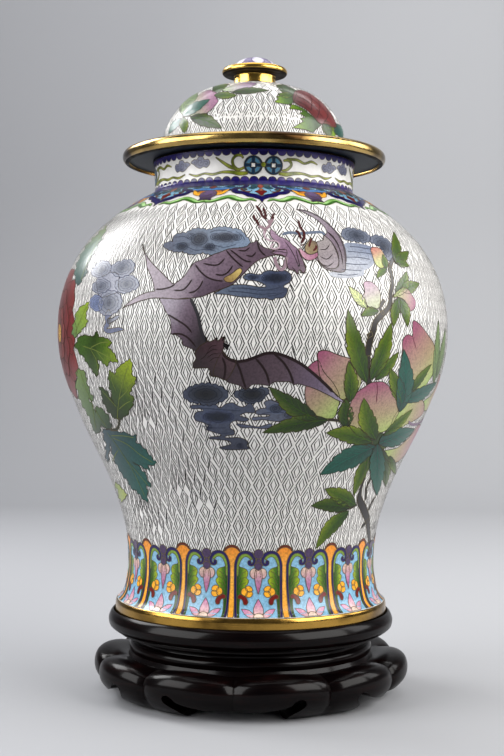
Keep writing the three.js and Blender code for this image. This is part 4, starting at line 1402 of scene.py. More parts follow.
SLATE = [(0, (62, 66, 78)), (0.35, (94, 98, 110)), (0.7, (120, 124, 136)), (1, (134, 137, 150))]
DEEP_SLATE = [(0, (6, 8, 12)), (0.4, (18, 22, 30)), (0.75, (46, 52, 66)), (1, (62, 68, 86))]
SWIRLS = [
    (199, 239, 6.5), (226, 237, 4.5), (215, 236.5, 3.8), (237, 237, 3.6), (182, 246, 4.2), (191, 236, 3.4),
    (210, 246, 3.6), (277, 278, 4.4), (266, 278, 3.4), (286, 277, 3.4), (252, 277, 2.8), (218, 418, 5.5),
    (208, 417, 4), (229, 417, 4), (276, 409, 4.6), (288, 415, 3), (208, 427, 3), (240, 446, 2.6),
]


def cloud_pictures(sheet):
    figure(sheet, puffed(CLOUD_TOP, 5.5, 0.2), [(0, (88, 93, 108)), (0.5, (96, 106, 122)),
                                                (1, (106, 120, 140))],
           (170, 250), (240, 228), 2, False)
    for middle, wide, tall in (((199, 239), 10, 8.5), ((225, 237), 15, 5.5), ((182, 246), 8, 5),
                               ((209, 247), 8, 4)):
        glow(sheet, middle, wide, tall, (50, 54, 64), (92, 100, 116), 3)
    figure(sheet, CLOUD_MIDDLE, [(0, (84, 94, 112)), (0.5, (68, 77, 96)), (1, (54, 60, 80))], (225, 292),
           (285, 280), 2)
    glow(sheet, (276, 278), 15, 6.5, (26, 30, 42), (60, 68, 92), 3)
    glow(sheet, (255, 277), 9, 3.4, (48, 54, 72), (76, 86, 110), 3)
    figure(sheet, CLOUD_LEFT_BODY, [(0, (136, 138, 150)), (1, (148, 150, 162))], (100, 280), (118, 285), 2)
    for i, outline in enumerate(CLOUD_LEFT_PUFFS):
        puff(sheet, outline, [(0, (92, 104, 136)), (1, (116, 126, 156))] if i == 5 else SLATE, 3,
             line=(60, 64, 86))
    tail = smooth_line(sheet.flat(CLOUD_LEFT_TAIL), 5)
    ribbon(sheet, sheet.place, tail[::4], [4.2, 3.2, 3.2, 3.0, 2.6, 2.4, 2.2, 0.6], even((98, 104, 128)), 2)
    figure(sheet, CLOUD_LEFT_HOOK, SLATE, (107, 319), (118, 317), 3)
    figure(sheet, CLOUD_RIGHT_HAZE, [(0, (158, 162, 172)), (0.6, (136, 143, 158)), (1, (108, 117, 138))],
           (350, 278), (362, 243), 2, wire=None)
    for outline in CLOUD_RIGHT_PUFFS:
        puff(sheet, outline, [(0, (40, 44, 54)), (0.45, (74, 80, 94)), (1, (108, 114, 130))], 3)
    figure(sheet, CLOUD_LOW_BODY, [(0, (50, 54, 68)), (0.5, (58, 64, 82)), (1, (62, 70, 90))], (230, 450),
           (215, 404), 2)
    figure(sheet, CLOUD_LOW_SIDE, [(0, (68, 73, 88)), (1, (80, 86, 104))], (300, 420), (266, 401), 2)
    figure(sheet, CLOUD_LOW_BAR, [(0, (64, 70, 90)), (1, (78, 84, 106))], (236, 426), (270, 426), 2)
    for outline in CLOUD_LOW_PUFFS:
        puff(sheet, outline, DEEP_SLATE, 3, 6.5, (18, 22, 36))
    glow(sheet, (218, 417), 17, 7, (20, 26, 38), (58, 66, 92), 3)
    glow(sheet, (277, 409), 11, 5, (44, 50, 66), (74, 84, 108), 3)
    strokes(sheet, CLOUD_LINES, 4, 0.32, even((50, 56, 74)), False)
    for x, y, r in SWIRLS:
        for share in (1.0, 0.62):
            sheet.wire(sheet.place, sheet.flat(oval(x, y, r * 1.25 * share, r * 0.9 * share)), 4, 0.26,
                       even((34, 40, 56)), True)
        sheet.wire(sheet.place, sheet.flat(scroll(x, y, r * 0.4, x * 7 % 360, 1.2)), 4, 0.24,
                   even((28, 34, 50)), step=STROKE_STEP)


# Bats
UPPER_WING = [
    (143, 244), (144, 250), (148, 258), (153, 264), (160, 271), (167, 278), (173, 283.5), (178, 281),
    (184, 276), (188, 270), (192, 265), (195, 262), (201, 260), (208, 257), (214, 254), (220, 252),
    (226, 249.5), (233, 248), (241, 247.5), (247, 246), (250, 243), (254, 242), (257, 240), (259, 243),
    (263, 246.5), (270, 249), (277, 250), (286, 249), (286, 256), (277, 254.5), (270, 256), (263, 258),
    (257, 261), (252, 265), (247, 270), (243, 274), (239, 278), (235, 282), (230, 285.5), (224, 288),
    (217, 290.5), (210, 293), (203, 296), (195, 297.5), (187, 298.5), (178, 299), (170, 298.5), (160, 298),
    (152, 298), (145, 299.5), (138, 301.5), (132, 304), (126, 306), (122, 308.5), (126, 304.5), (130, 301),
    (136, 297), (142, 294), (148, 292), (154, 291), (154, 289), (153, 283), (151, 277), (149, 272),
    (146.5, 266), (146, 260), (144.5, 254), (142.4, 247),
]
UPPER_ARM_DARK = [
    (195, 266), (201, 272), (208, 277), (216, 280), (226, 283), (232, 283), (224, 288), (210, 293),
    (200, 296.5), (193, 297), (198, 290), (203, 283), (203, 277), (199, 271),
]
UPPER_FEATHERS = [
    (240, 268), (236, 270), (231, 274), (224, 278), (226, 281.5), (232, 282), (238, 277), (242, 271),
]
UPPER_FOLDS = [
    [(173, 290), (182, 290), (188, 285), (192, 279)], [(188, 293), (195, 291), (200, 286), (203, 280)],
    [(195, 264), (200, 271), (207, 277), (215, 280), (224, 281)],
    [(203, 263), (212, 265), (219, 264), (225, 258)], [(215, 274), (222, 275), (228, 272), (233, 265)],
    [(226, 250), (231, 256), (237, 262), (243, 267)], [(238, 250), (245, 250.5), (250, 247)],
    [(246, 255), (252, 256), (256, 252)], [(257, 241), (260, 250), (266, 256)],
    [(155, 289), (162, 289), (170, 287), (175, 284)], [(230, 249.5), (236, 254), (244, 260), (252, 262)],
]
UPPER_HEAD = [
    (271, 229), (275, 232), (279, 236), (284, 238), (289, 241), (293, 245), (297, 248), (300, 254),
    (303, 260), (305, 266), (306, 270), (303, 273), (301, 270.5), (299, 270), (298, 274), (296, 272),
    (293, 270), (289, 269), (287, 265), (286, 259), (283, 255), (276, 254), (272, 252), (278, 248),
    (277, 242), (272, 238), (270, 233),
]
HEAD_LINES = [
    [(284, 240), (290, 248), (295, 257), (298, 265)], [(296, 249), (298, 258), (300, 266)],
    [(270, 252), (280, 251.5), (288, 253)], [(272, 249.5), (280, 249), (286, 250)],
    [(300, 272), (304, 273), (307, 272)], [(292, 267), (295, 270), (297, 274)],
]
CURL = [
    (264, 231), (265, 237), (270, 240), (276, 241), (279.5, 244), (278, 248), (273, 248.5), (271, 246),
    (274, 243.5),
]
RING_CURL = [(275, 257), (276, 263), (280, 269), (284, 268), (286, 262), (287, 257)]
RING_CURL_WHITE = [(279, 259), (281, 258), (283.5, 261), (283, 265), (281, 266), (279.5, 263)]
WHISKER_STEMS = [
    [(264, 234), (265, 229), (262, 227), (258, 225)], [(265, 229), (269, 226), (270, 223), (268, 219)],
    [(270, 223), (272, 220), (273, 218)],
]
WHISKER_TIPS = [
    [(259, 225.5), (257, 221), (254.5, 218), (253.5, 214)],
    [(267, 219), (262, 215), (260, 210), (255.5, 204.5)], [(266, 217), (265, 212), (263, 207)],
    [(272, 219), (273, 215), (275, 213)],
    [(301, 243), (304, 238), (304, 232), (300.5, 227), (298, 219)],
    [(301, 239), (299, 233), (295.5, 230)],
]
BLOSSOM_PINK = [
    (299, 248), (304, 251), (308, 254), (313, 254), (317, 252), (318, 256), (312, 260), (305, 259),
    (301, 254),
]
BLOSSOM_CUP = [
    (305, 249), (306, 244), (309, 240), (311, 237), (312, 240), (316, 242), (318, 247), (317, 252),
    (312, 254), (307, 253),
]
BLOSSOM_TOUCHES = [
    [(309, 247), (310, 243), (312, 238)], [(313, 251), (316, 248), (316, 245)], [(300, 246), (304, 244)],
]
RIGHT_WING = [
    (296, 209), (302, 210), (308, 211), (314, 213.5), (320, 217), (326, 221), (331, 226), (336, 231),
    (340, 237), (343, 243), (345, 250), (346, 257), (346, 264), (345, 271), (339, 272), (332, 270.5),
    (326, 269), (322, 265), (319, 261), (316, 259), (318, 252), (316, 244), (318, 241), (323, 240),
    (324, 236), (327, 232), (325, 227), (320, 222), (315, 218), (309, 214.5), (303, 211.5),
]
RIGHT_FAN = [
    (318, 241), (323, 240), (324, 235), (329, 239), (334, 245), (338, 253), (339, 262), (336, 268),
    (328, 268), (322, 264), (318, 258), (318, 251), (316, 245),
]
RIGHT_FOLDS = [
    [(320, 249), (326, 249), (330, 244)], [(320, 256), (327, 259), (333, 254)],
    [(324, 235), (331, 241), (336, 250), (339, 260), (338, 268)],
    [(328, 232), (336, 241), (341, 252), (343, 264)], [(322, 264), (328, 266), (334, 262)],
    [(327, 231), (333, 236), (339, 245)],
]
RIGHT_EDGE = [(297, 209), (308, 211), (320, 217), (331, 226), (340, 237), (345, 250), (346, 264)]
LOWER_WING_LEFT = [
    (160, 298), (175, 299), (190, 298), (194, 305), (197, 313), (200, 322), (202, 332), (206, 341),
    (209, 347), (206, 358), (197, 356), (195, 352), (192, 349), (187, 347), (183, 345), (181, 339),
    (176, 335), (171, 334), (171, 328), (170, 320), (167, 314), (163, 306),
]
LOWER_BODY = [
    (206, 337), (208, 341.5), (213, 340.5), (216, 338), (218, 341), (221, 338), (224.5, 337), (224, 342),
    (224, 347), (222.5, 352), (228, 358), (236, 361), (232, 372), (226, 380), (217, 377), (211, 376),
    (209, 369), (205, 368), (200, 368), (193.5, 368), (193, 363), (196, 359), (195, 353), (200, 346),
    (206, 342),
]
LOWER_WING_RIGHT = [
    (222, 352), (228, 358), (235, 361), (243, 361), (250, 359), (256, 356), (262, 354), (270, 352),
    (278, 353), (286, 355.5), (294, 359), (301, 363), (308, 368), (315, 374), (322, 380), (329, 387),
    (336, 394), (341, 399), (346, 403), (338, 400.5), (330, 396), (322, 392), (314, 388.5), (306, 386),
    (298, 384), (294, 385), (290, 382), (282, 382), (275, 382), (269, 385.5), (264, 385), (258, 384.5),
    (252, 385), (246, 389.5), (240, 386), (234, 384), (228, 382.5), (224, 379.5), (217, 377), (213, 372),
]
LOWER_TOP_EDGE = [
    (222, 353), (228, 358.5), (236, 361.5), (246, 360.5), (256, 357), (264, 354), (272, 353), (282, 355),
    (294, 360), (304, 366), (314, 374), (324, 383), (334, 393),
]
LOWER_BONES = [
    [(273, 353), (283, 362), (290, 373), (294, 385)], [(255, 358), (262, 366), (267, 375), (269.5, 385)],
    [(236, 361), (240, 370), (243, 380), (246, 389)], [(222, 357), (225, 365), (225, 373), (223.5, 380)],
]
LOWER_LEFT_BONES = [
    [(167, 314), (177, 320), (186, 326), (192, 333)], [(171, 334), (180, 334), (188, 338), (196, 347)],
]
LOWER_EDGE_DARK = [(190, 298), (194, 306), (198, 316), (200, 326), (203, 336), (207, 343)]
CLAWS = [
    [(223, 343), (227, 345.5), (230, 345)], [(223, 345), (226, 347), (228, 350)], [(224, 342), (228, 342)],
    [(206, 342), (205.5, 336)], [(216, 341), (216.5, 336.5)], [(222, 341), (224.5, 336.5)],
]
FUR = [
    [(208, 350), (212, 346), (217, 346)], [(207, 354), (212, 350), (218, 350)],
    [(207, 358), (213, 354), (219, 354)], [(209, 362), (214, 358), (220, 358)],
    [(200, 360), (205, 356), (209, 350)],
]
EYE = (299, 265.5)


HEAD_CLOUD = [(282, 234), (290, 232), (300, 233), (312, 232), (322, 232), (326, 237)]
PEACH_CURL = [(409, 421), (411, 424), (416, 424.5), (421, 422), (424, 418)]


def bat_pictures(sheet):
    mauve = [(0, (142, 130, 140)), (0.4, (118, 102, 116)), (1, (82, 66, 78))]
    figure(sheet, LOWER_WING_LEFT, [(0, (130, 118, 134)), (0.5, (92, 76, 90)), (1, (44, 38, 42))],
           (163, 312), (203, 330), 3)
    figure(sheet, LOWER_WING_RIGHT, [(0, (48, 34, 42)), (0.45, (70, 54, 64)), (0.75, (92, 78, 98)),
                                     (1, (142, 134, 152))],
           (224, 365), (343, 402), 4)
    figure(sheet, LOWER_BODY, [(0, (34, 22, 26)), (1, (70, 50, 56))], (200, 366), (226, 345), 5,
           width=BOLD_PEN)
    strokes(sheet, [LOWER_TOP_EDGE], 6, 1.5)
    strokes(sheet, LOWER_BONES, 6, 1.1)
    strokes(sheet, LOWER_LEFT_BONES, 6, 0.9)
    strokes(sheet, [LOWER_EDGE_DARK], 5, 1.6, even((40, 38, 42)))
    strokes(sheet, CLAWS, 7, 1.2, even((14, 10, 12)))
    strokes(sheet, FUR, 6, 0.4)
    figure(sheet, RIGHT_WING, [(0, (128, 120, 128)), (0.5, (118, 103, 116)), (1, (106, 96, 104))], (300, 210),
           (342, 268), 4)
    figure(sheet, RIGHT_FAN, [(0, (142, 134, 134)), (1, (126, 114, 122))], (318, 245), (334, 266), 5)
    strokes(sheet, RIGHT_FOLDS, 6, 0.5)
    strokes(sheet, [RIGHT_EDGE], 6, 1.1, even((70, 62, 66)))
    figure(sheet, UPPER_WING, mauve, (146, 262), (246, 292), 4, width=BOLD_PEN)
    figure(sheet, UPPER_ARM_DARK, [(0, (100, 84, 100)), (1, (68, 54, 66))], (200, 268), (216, 292), 5,
           wire=None)
    figure(sheet, UPPER_FEATHERS, [(0, (120, 96, 60)), (1, (182, 160, 96))], (226, 281), (241, 269), 5)
    strokes(sheet, UPPER_FOLDS, 6, 0.8)
    figure(sheet, UPPER_HEAD, [(0, (140, 114, 134)), (0.6, (116, 92, 112)), (1, (84, 64, 78))], (274, 232),
           (302, 272), 5, width=BOLD_PEN)
    strokes(sheet, [HEAD_CLOUD], 3, 1.7, even((92, 102, 120)))
    strokes(sheet, [PEACH_CURL], 7, 1.5, even((128, 112, 128)))
    strokes(sheet, HEAD_LINES, 6, 0.4)
    pale = even((178, 156, 166))
    strokes(sheet, [CURL], 6, 0.9, pale, False)
    strokes(sheet, [RING_CURL], 6, 1.7, even((138, 116, 126)), False)
    figure(sheet, RING_CURL_WHITE, [(0, (226, 220, 220)), (1, (240, 236, 234))], (279, 260), (284, 264), 7)
    strokes(sheet, WHISKER_STEMS, 5, 1.7, even((136, 112, 120)))
    strokes(sheet, WHISKER_TIPS, 6, 1.5, even((58, 10, 12)))
    figure(sheet, BLOSSOM_PINK, [(0, (176, 136, 150)), (1, (142, 84, 112))], (300, 252), (318, 254), 6)
    figure(sheet, BLOSSOM_CUP, [(0, (140, 124, 92)), (1, (100, 82, 66))], (306, 252), (314, 240), 7)
    strokes(sheet, BLOSSOM_TOUCHES, 8, 1.1, even((70, 10, 14)))
    sheet.field(sheet.place, sheet.flat(oval(EYE[0], EYE[1], 1.0, 1.1)), even((8, 6, 8)), 7, 1.0)


# Peaches: outline, the point, the stalk end and the groove
PEACHES = [
    ([(307, 369), (313, 363), (319, 361), (324, 372), (334, 384), (340, 398), (337, 412), (334, 418),
     (326, 420), (318, 418), (311, 412), (307, 405), (305, 395), (306, 384), (305, 376)], (306, 366),
     (338, 412), None, 2),
    ([(320, 376), (319, 368), (318, 360), (317.5, 355), (319, 351.5), (323, 350.5), (329, 351), (336, 354),
     (343, 356.5), (350, 358.5), (356, 362), (360, 368), (362, 376), (361, 384), (358, 391), (352, 397),
     (345, 400), (338, 397), (330, 388), (324, 382)], (318, 350), (360, 398), None, 3),
    ([(401, 372), (402, 360), (403, 350), (403, 342), (405, 337), (409, 334.5), (413, 336), (413, 328),
     (413.5, 322), (415, 320.5), (420, 324), (425, 330), (430, 337), (434, 343), (436, 352), (436, 362),
     (435, 370), (430, 380), (422, 390), (410, 395), (402, 385)], (411, 322), (424, 388), [(413, 336),
     (415, 343), (417, 350)], 2),
    ([(424, 402), (431, 396), (437, 385), (440, 374), (441.5, 384), (438, 396), (431, 407), (425, 411)],
     (442, 376), (424, 410), None, 2),
    ([(383, 452), (390, 450), (398, 448), (404, 443), (410, 437), (414, 432), (419, 425), (420.5, 427),
     (417, 437), (411, 447), (404.5, 456), (398, 462), (391, 463), (386, 459)], (421, 430), (384, 455), None,
     2),
    ([(400, 409), (406, 404), (412, 401), (420, 399), (424, 402), (425, 408), (423, 414), (416, 420),
     (408, 424), (402, 428), (396, 432), (391, 430), (394, 418)], (432, 405), (393, 430), None, 3),
    ([(377, 382), (371, 383), (365, 387), (358, 392), (353, 399), (350, 406), (348, 415), (349, 424),
     (352, 430), (357, 435), (362, 437), (370, 437), (378, 434), (386, 431), (391, 427), (396, 419),
     (399, 412), (399, 404), (396, 396), (392, 390), (388, 385), (383, 382)], (377, 378), (368, 440),
     [(377, 382), (378, 390), (377, 397), (377, 403)], 4),
]
BUDS = [
    ([(371, 248), (377, 247), (382, 250), (386, 258), (387, 264), (382, 268), (376, 264), (373, 256)],
     (372, 246), (385, 267), [(0, (178, 104, 98)), (0.35, (178, 138, 116)), (0.7, (174, 178, 118)), (1,
     (158, 168, 86))]),
    ([(364, 283), (369, 281), (375, 284), (380, 291), (381, 300), (379, 308), (371, 308), (366, 303),
     (362, 298), (365, 292)], (366, 281), (376, 308), [(0, (166, 132, 154)), (0.4, (172, 156, 160)), (0.8,
     (172, 176, 146)), (1, (164, 172, 136))]),
    ([(394, 296), (398, 291), (404, 287), (409, 290), (413, 296), (416, 301), (415, 308), (411, 311),
     (408, 310), (407, 303), (402, 298)], (416, 306), (395, 294), PEACH),
]
# Leaves: base, tip, width, tones, level and bow
PEACH_LEAVES = [
    ((367, 383), (348, 309), 15, GREEN_LEAF, 5, -2), ((371, 380), (392, 322), 13, GREEN_LEAF, 5, 2),
    ((376, 380), (399, 352), 9, GREEN_LEAF, 4, 1), ((350, 402), (349, 361), 12, GREEN_LEAF, 6, 2),
    ((346, 428), (346, 398), 13, DARK_LEAF, 4, 0), ((376, 440), (364, 398), 15, GREEN_LEAF, 6, -3),
    ((318, 420), (269, 387), 15, DARK_LEAF, 5, -3), ((328, 420), (262, 433), 13, DARK_LEAF, 5, 2),
    ((372, 442), (326, 433), 15, GREEN_LEAF, 5, 3), ((376, 446), (320, 475), 17, TEAL_LEAF, 4, 1),
    ((371, 456), (354, 496), 9, GREEN_LEAF, 3, 2), ((378, 444), (377, 496), 13, TEAL_LEAF, 5, 0),
    ((381, 448), (386, 487), 10, DARK_LEAF, 3, -2), ((390, 456), (396, 475), 6, GREEN_LEAF, 3, 0),
    ((379, 444), (415, 429), 15, TEAL_LEAF, 5, 0), ((384, 436), (413, 409), 7, GREEN_LEAF, 6, 1),
    ((400, 412), (404, 349), 14, TEAL_LEAF, 6, 4), ((402, 404), (390, 368), 12, GREEN_LEAF, 5, 1),
    ((412, 392), (432, 364), 6, GREEN_LEAF, 5, -1), ((404, 402), (437, 382), 10, TEAL_LEAF, 5, 2),
    ((434, 384), (439, 320), 5, GREY_LEAF, 3, 1), ((437, 378), (446, 328), 4, GREY_LEAF, 3, 1),
    ((356, 505), (325, 489), 14, GREEN_LEAF, 4, 1), ((350, 508), (311, 506), 12, DARK_LEAF, 4, 2),
    ((349, 511), (316, 549), 11, GREEN_LEAF, 4, 3), ((397, 263), (394, 231), 8, GREEN_LEAF, 4, 1),
    ((396, 263), (409, 251), 10, GREEN_LEAF, 4, 0), ((397, 261), (410, 266), 6, GREEN_LEAF, 4, 0),
    ((387, 268), (377, 278), 6, GREEN_LEAF, 4, 1), ((387, 268), (383, 254), 5, GREEN_LEAF, 5, 0),
    ((367, 308), (349, 286), 8, PALE_LEAF, 3, 0), ((379, 311), (361, 316), 8, GREEN_LEAF, 4, 2),
    ((397, 296), (407, 271), 10, GREEN_LEAF, 2, 2), ((402, 290), (420, 283), 11, GREEN_LEAF, 2, 0),
    ((399, 297), (394, 327), 8, GREEN_LEAF, 5, 1), ((398, 297), (408, 327), 8, GREEN_LEAF, 5, -3),
]
# Branches: path and widths in millimetres
BRANCHES = [
    ([(368, 356), (370, 342), (374, 330), (376, 322), (382, 315), (388, 309), (391, 301), (391, 293),
     (393, 285), (392, 275), (390.5, 268), (392, 262), (395, 257)],
     [3.8, 3.6, 3.2, 3.2, 2.6, 2.4, 2.2, 2.0, 2.2, 1.8]),
    ([(384, 314), (380.5, 308), (382, 304), (385, 300)], [1.4, 1.6, 2.2, 1.6]),
    ([(371, 337), (369.5, 333)], [3.4, 3.4]),
    ([(365, 478), (361, 490), (360, 500), (364, 509), (368, 520), (369, 530), (370.5, 543)],
     [2.4, 3.0, 4.6, 5.4, 5.2, 4.6, 4.2]),
    ([(372, 477), (367, 488), (366, 500)], [1.6, 2.0, 2.6]),
    ([(376, 497), (372, 503), (369, 510)], [1.4, 2.0, 3.0]), ([(369, 520), (362, 527)], [2.2, 2.4]),
    ([(340, 421), (332, 420), (326, 420)], [1.2, 1.4, 1.4]), ([(357, 505), (350, 509)], [1.4, 1.2]),
    ([(372, 442), (368, 456), (365, 478)], [2.2, 2.6, 2.4]),
    ([(368, 356), (369, 380), (372, 440)], [3.4, 3.2, 2.8]), ([(394, 297), (399, 294)], [1.2, 1.4]),
    ([(387, 264), (391, 266)], [1.3, 1.3]),
]


LEAF_KNOT = [
    (352, 432), (362, 429), (374, 431), (384, 434), (390, 440), (387, 447), (378, 452), (370, 447),
    (360, 443), (352, 438),
]


def peach_pictures(sheet):
    bark = even((30, 26, 24))
    for path, widths in BRANCHES:
        flat = sheet.flat(path if len(path) > 2 else [path[0], tuple(np.mean(path, 0)), path[1]])
        ribbon(sheet, sheet.place, flat, widths, bark, 2)
    for outline, point, stalk, groove, level in PEACHES:
        figure(sheet, outline, PEACH, point, stalk, level, width=BOLD_PEN)
        if groove:
            strokes(sheet, [groove], level + 2, 0.4, even((96, 40, 60)))
    for outline, point, stalk, stops in BUDS:
        figure(sheet, outline, stops, point, stalk, 3)
    figure(sheet, LEAF_KNOT, DARK_LEAF, (366, 436), (392, 446), 3)
    for base, tip, width, stops, level, bow in PEACH_LEAVES:
        leaf(sheet, base, tip, width, stops, level, bow)


# Peony side: lobed leaves as outlines, with the points that their tone runs between
LOBED_LEAVES = [
    ([(130, 358), (132, 366), (131, 374), (136, 379), (133, 386), (129, 393), (134, 399), (131, 408),
     (126, 416), (119, 420), (112, 417), (106, 409), (102, 400), (101, 393), (98, 387), (103, 388),
     (108, 394), (111, 401), (113, 405), (111, 395), (109, 385), (108, 376), (109.5, 370), (114, 375),
     (117, 368), (122, 364), (127, 361)], (114, 410), (130, 368), [(0, (30, 44, 16)), (0.45, (46, 70, 12)),
     (1, (128, 146, 12))]),
    ([(80, 336), (86, 335), (92, 337), (97, 331), (98, 337), (103, 337), (109, 340), (112, 343), (107, 347),
     (111, 350), (115, 356), (117.5, 363), (110, 361), (106, 367), (101, 361), (97, 360), (99, 368),
     (96, 377), (92, 370), (88, 366), (84, 358), (78, 352), (74, 345)], (84, 344), (116, 362), [(0,
     (50, 76, 20)), (0.3, (34, 54, 8)), (0.6, (60, 86, 8)), (1, (112, 134, 10))]),
    ([(89, 302), (86, 311), (85, 318), (88, 321), (83, 328), (79, 333), (74, 338), (71, 332), (74, 322),
     (76, 312), (81, 306)], (72, 336), (88, 304), [(0, (84, 110, 70)), (1, (128, 150, 40))]),
    ([(78, 368), (85, 373), (86, 382), (89, 390), (93, 400), (91, 402), (88, 398), (92, 407), (95, 413),
     (96, 406), (103, 410), (109, 418), (111, 429), (106, 430), (101, 425), (99, 433), (95, 434), (92, 428),
     (90, 420), (86, 412), (81, 404), (78, 395), (75, 384)], (80, 372), (108, 428), [(0, (84, 108, 40)),
     (0.5, (60, 86, 30)), (1, (30, 48, 30))]),
    ([(103, 429), (110, 430), (118, 432), (126, 433), (131, 436), (136.5, 435), (135, 442), (141, 446),
     (147, 452), (152, 459), (156.5, 463), (152, 466), (147.5, 465), (149.5, 471), (142, 467), (136, 464),
     (132, 462), (140, 468), (146, 476), (150.5, 488), (146, 485), (147, 494), (147, 503), (141, 497),
     (136, 491), (131, 489), (128, 482), (122, 475), (118, 469), (114, 460), (111, 450), (110, 444),
     (109, 452), (107, 463), (105, 455), (106, 445), (103, 438)], (108, 432), (146, 480), [(0, (34, 58, 66)),
     (0.4, (20, 60, 60)), (1, (18, 74, 66))]),
    ([(115, 482), (120, 487), (124, 492), (127, 495), (123, 500), (121, 503), (118, 495)], (116, 484),
     (124, 500), [(0, (116, 130, 50)), (1, (140, 152, 70))]),
    ([(77, 286), (74.5, 280), (74.5, 270), (77.5, 261), (82, 252), (88, 243.5), (95, 236), (102, 229.5),
     (107, 225), (104, 233), (98.5, 242), (96, 249), (91.5, 255), (88, 262), (85.5, 268), (88, 272),
     (82.5, 277), (80, 283)], (104, 228), (80, 280), [(0, (96, 112, 60)), (0.4, (52, 86, 70)), (1,
     (36, 66, 64))]),
]
LOBED_RIBS = [
    [(117, 421), (118, 405), (121, 388), (128, 366)], [(117, 408), (108, 398), (101, 390)],
    [(118, 400), (126, 392), (133, 382)], [(118, 410), (125, 404), (131, 401)],
    [(116, 392), (112, 382), (110, 373)], [(82, 346), (94, 350), (106, 356), (115, 361)],
    [(90, 348), (100, 343), (109, 342)], [(90, 349), (96, 360), (98, 372)],
    [(96, 351), (103, 360), (106, 365)], [(74, 334), (80, 320), (87, 305)],
    [(80, 372), (86, 390), (96, 412), (107, 428)], [(92, 404), (94, 420), (96, 431)],
    [(106, 432), (118, 448), (132, 470), (145, 498)], [(112, 438), (126, 444), (140, 455), (153, 463)],
    [(126, 460), (138, 474), (148, 486)], [(110, 436), (122, 436), (134, 438)], [(118, 450), (112, 462)],
    [(80, 282), (88, 260), (98, 240), (107, 226)],
]
LEAF_STEM = [(110, 430), (116, 429.5), (118.5, 425), (119, 419)]
PEONY_ANGLE, PEONY_HEIGHT = -73.5, 196.0


def peony(sheet, angle, height, level=2):
    """A full flower: outer petals, then rings of smaller ones turned inward."""
    place = on_wall(sheet.wall, angle + sheet.around, height)
    rng = random.Random(PETAL_SEED)
    rings_of_petals = ((9, 22.0, 12.0, (110, 40, 38), (66, 18, 22)),
                       (8, 14.0, 9.0, (104, 36, 36), (56, 12, 18)),
                       (6, 7.5, 6.5, (116, 46, 42), (52, 10, 16)))
    for ring, (count, distance, size, outer, inner) in enumerate(rings_of_petals):
        for i in range(count):
            a = 2 * math.pi * (i + ring * 0.5) / count + rng.uniform(-0.1, 0.1)
            cx, cy = distance * math.cos(a) * 0.82, distance * math.sin(a) * 1.1
            petal = []
            for k in range(14):
                t = 2 * math.pi * k / 14
                wave = size * (1 + 0.1 * math.cos(5 * t + i))
                petal.append((cx + wave * math.cos(t) * 0.95, cy + wave * math.sin(t)))
            tone = graded([(0, inner), (1, outer)],
                          lambda x, y, d=distance, w=size: np.clip((np.hypot(x / 0.82,
                                  y / 1.1) - d + w * 0.9) / (2 * w), 0, 1))
            sheet.cell(place, closed_curve(petal, 2), tone, level + ring * 2, 2.0, FIGURE_PEN, FIGURE_WIRE)
    sheet.cell(place, oval(0, 0, 4.5, 5.0), even((196, 150, 60)), level + 5, 1.6)


def jagged(points):
    """Adds a small tooth to each longer side of a closed outline in pixels."""
    x, y = np.array(points, float).T
    turn = np.sign(np.sum(x * np.roll(y, -1) - np.roll(x, -1) * y))
    made = []
    for a, b in zip(points, list(points[1:]) + [points[0]]):
        made.append(a)
        way = (b[0] - a[0], b[1] - a[1])
        if math.hypot(*way) > 5.2:
            for t, out in ((0.42, -0.05), (0.64, 0.13)):
                made.append((a[0] + way[0] * t + way[1] * turn * out,
                             a[1] + way[1] * t - way[0] * turn * out))
    return made


def peony_pictures(sheet):
    peony(sheet, PEONY_ANGLE, PEONY_HEIGHT)
    for outline, start, end, stops in LOBED_LEAVES:
        figure(sheet, jagged(outline), stops, start, end, 3, curved=False)
    strokes(sheet, LOBED_RIBS, 5, 0.4, even((104, 116, 52)))
    ribbon(sheet, sheet.place, sheet.flat(LEAF_STEM), [0.9, 1.4, 1.4, 1.4], even((30, 36, 24)), 4)


# Lid: fruit and leaves on the left, a full flower with lobed leaves on the right
LID_FRUIT = [
    ([(186, 115), (190, 110), (193, 103), (196, 98), (201, 92.5), (208, 89.8), (214, 91), (218.3, 94.5),
     (216, 97), (218, 100.5), (215, 105), (209, 111), (202, 114.6), (194, 115.6)], (218, 94), (190, 113),
     [(0, (136, 84, 118)), (0.3, (142, 104, 128)), (0.6, (150, 134, 128)), (1, (138, 150, 118))], 3),
    ([(222, 89.5), (228, 86.5), (236, 83.5), (246, 82), (256, 82.4), (252, 86), (245, 89.5), (236, 91),
     (227, 91)], (254, 83), (224, 90), [(0, (118, 92, 122)), (0.4, (138, 120, 138)), (0.7, (150, 146, 140)),
     (1, (130, 148, 104))], 3),
]
LID_LEAVES = [
    ((182, 116), (210, 99), 8, TEAL_LEAF, 5, -1), ((190, 117), (222, 128), 11, DARK_LEAF, 4, -2),
    ((183, 117), (184, 133), 8, GREEN_LEAF, 3, 0), ((214, 95), (237, 95), 6, GREEN_LEAF, 5, 0),
    ((232, 92), (269, 90), 5.5, DARK_LEAF, 4, -1), ((212, 91), (228, 84), 7, GREEN_LEAF, 2, -1),
    ((181, 118), (168, 134), 6, TEAL_LEAF, 3, 1), ((181, 114), (199, 91), 12, GREY_LEAF, 2, -3),
    ((290, 90), (276, 84.5), 6, DARK_LEAF, 2, 0), ((293, 95), (278, 94), 5, GREEN_LEAF, 3, 0),
    ((336, 124), (343, 138), 8, TEAL_LEAF, 3, 0), ((326, 121), (330, 137), 9, DARK_LEAF, 3, 0),
    ((318, 92), (336, 110), 6, GREY_LEAF, 2, -2),
]
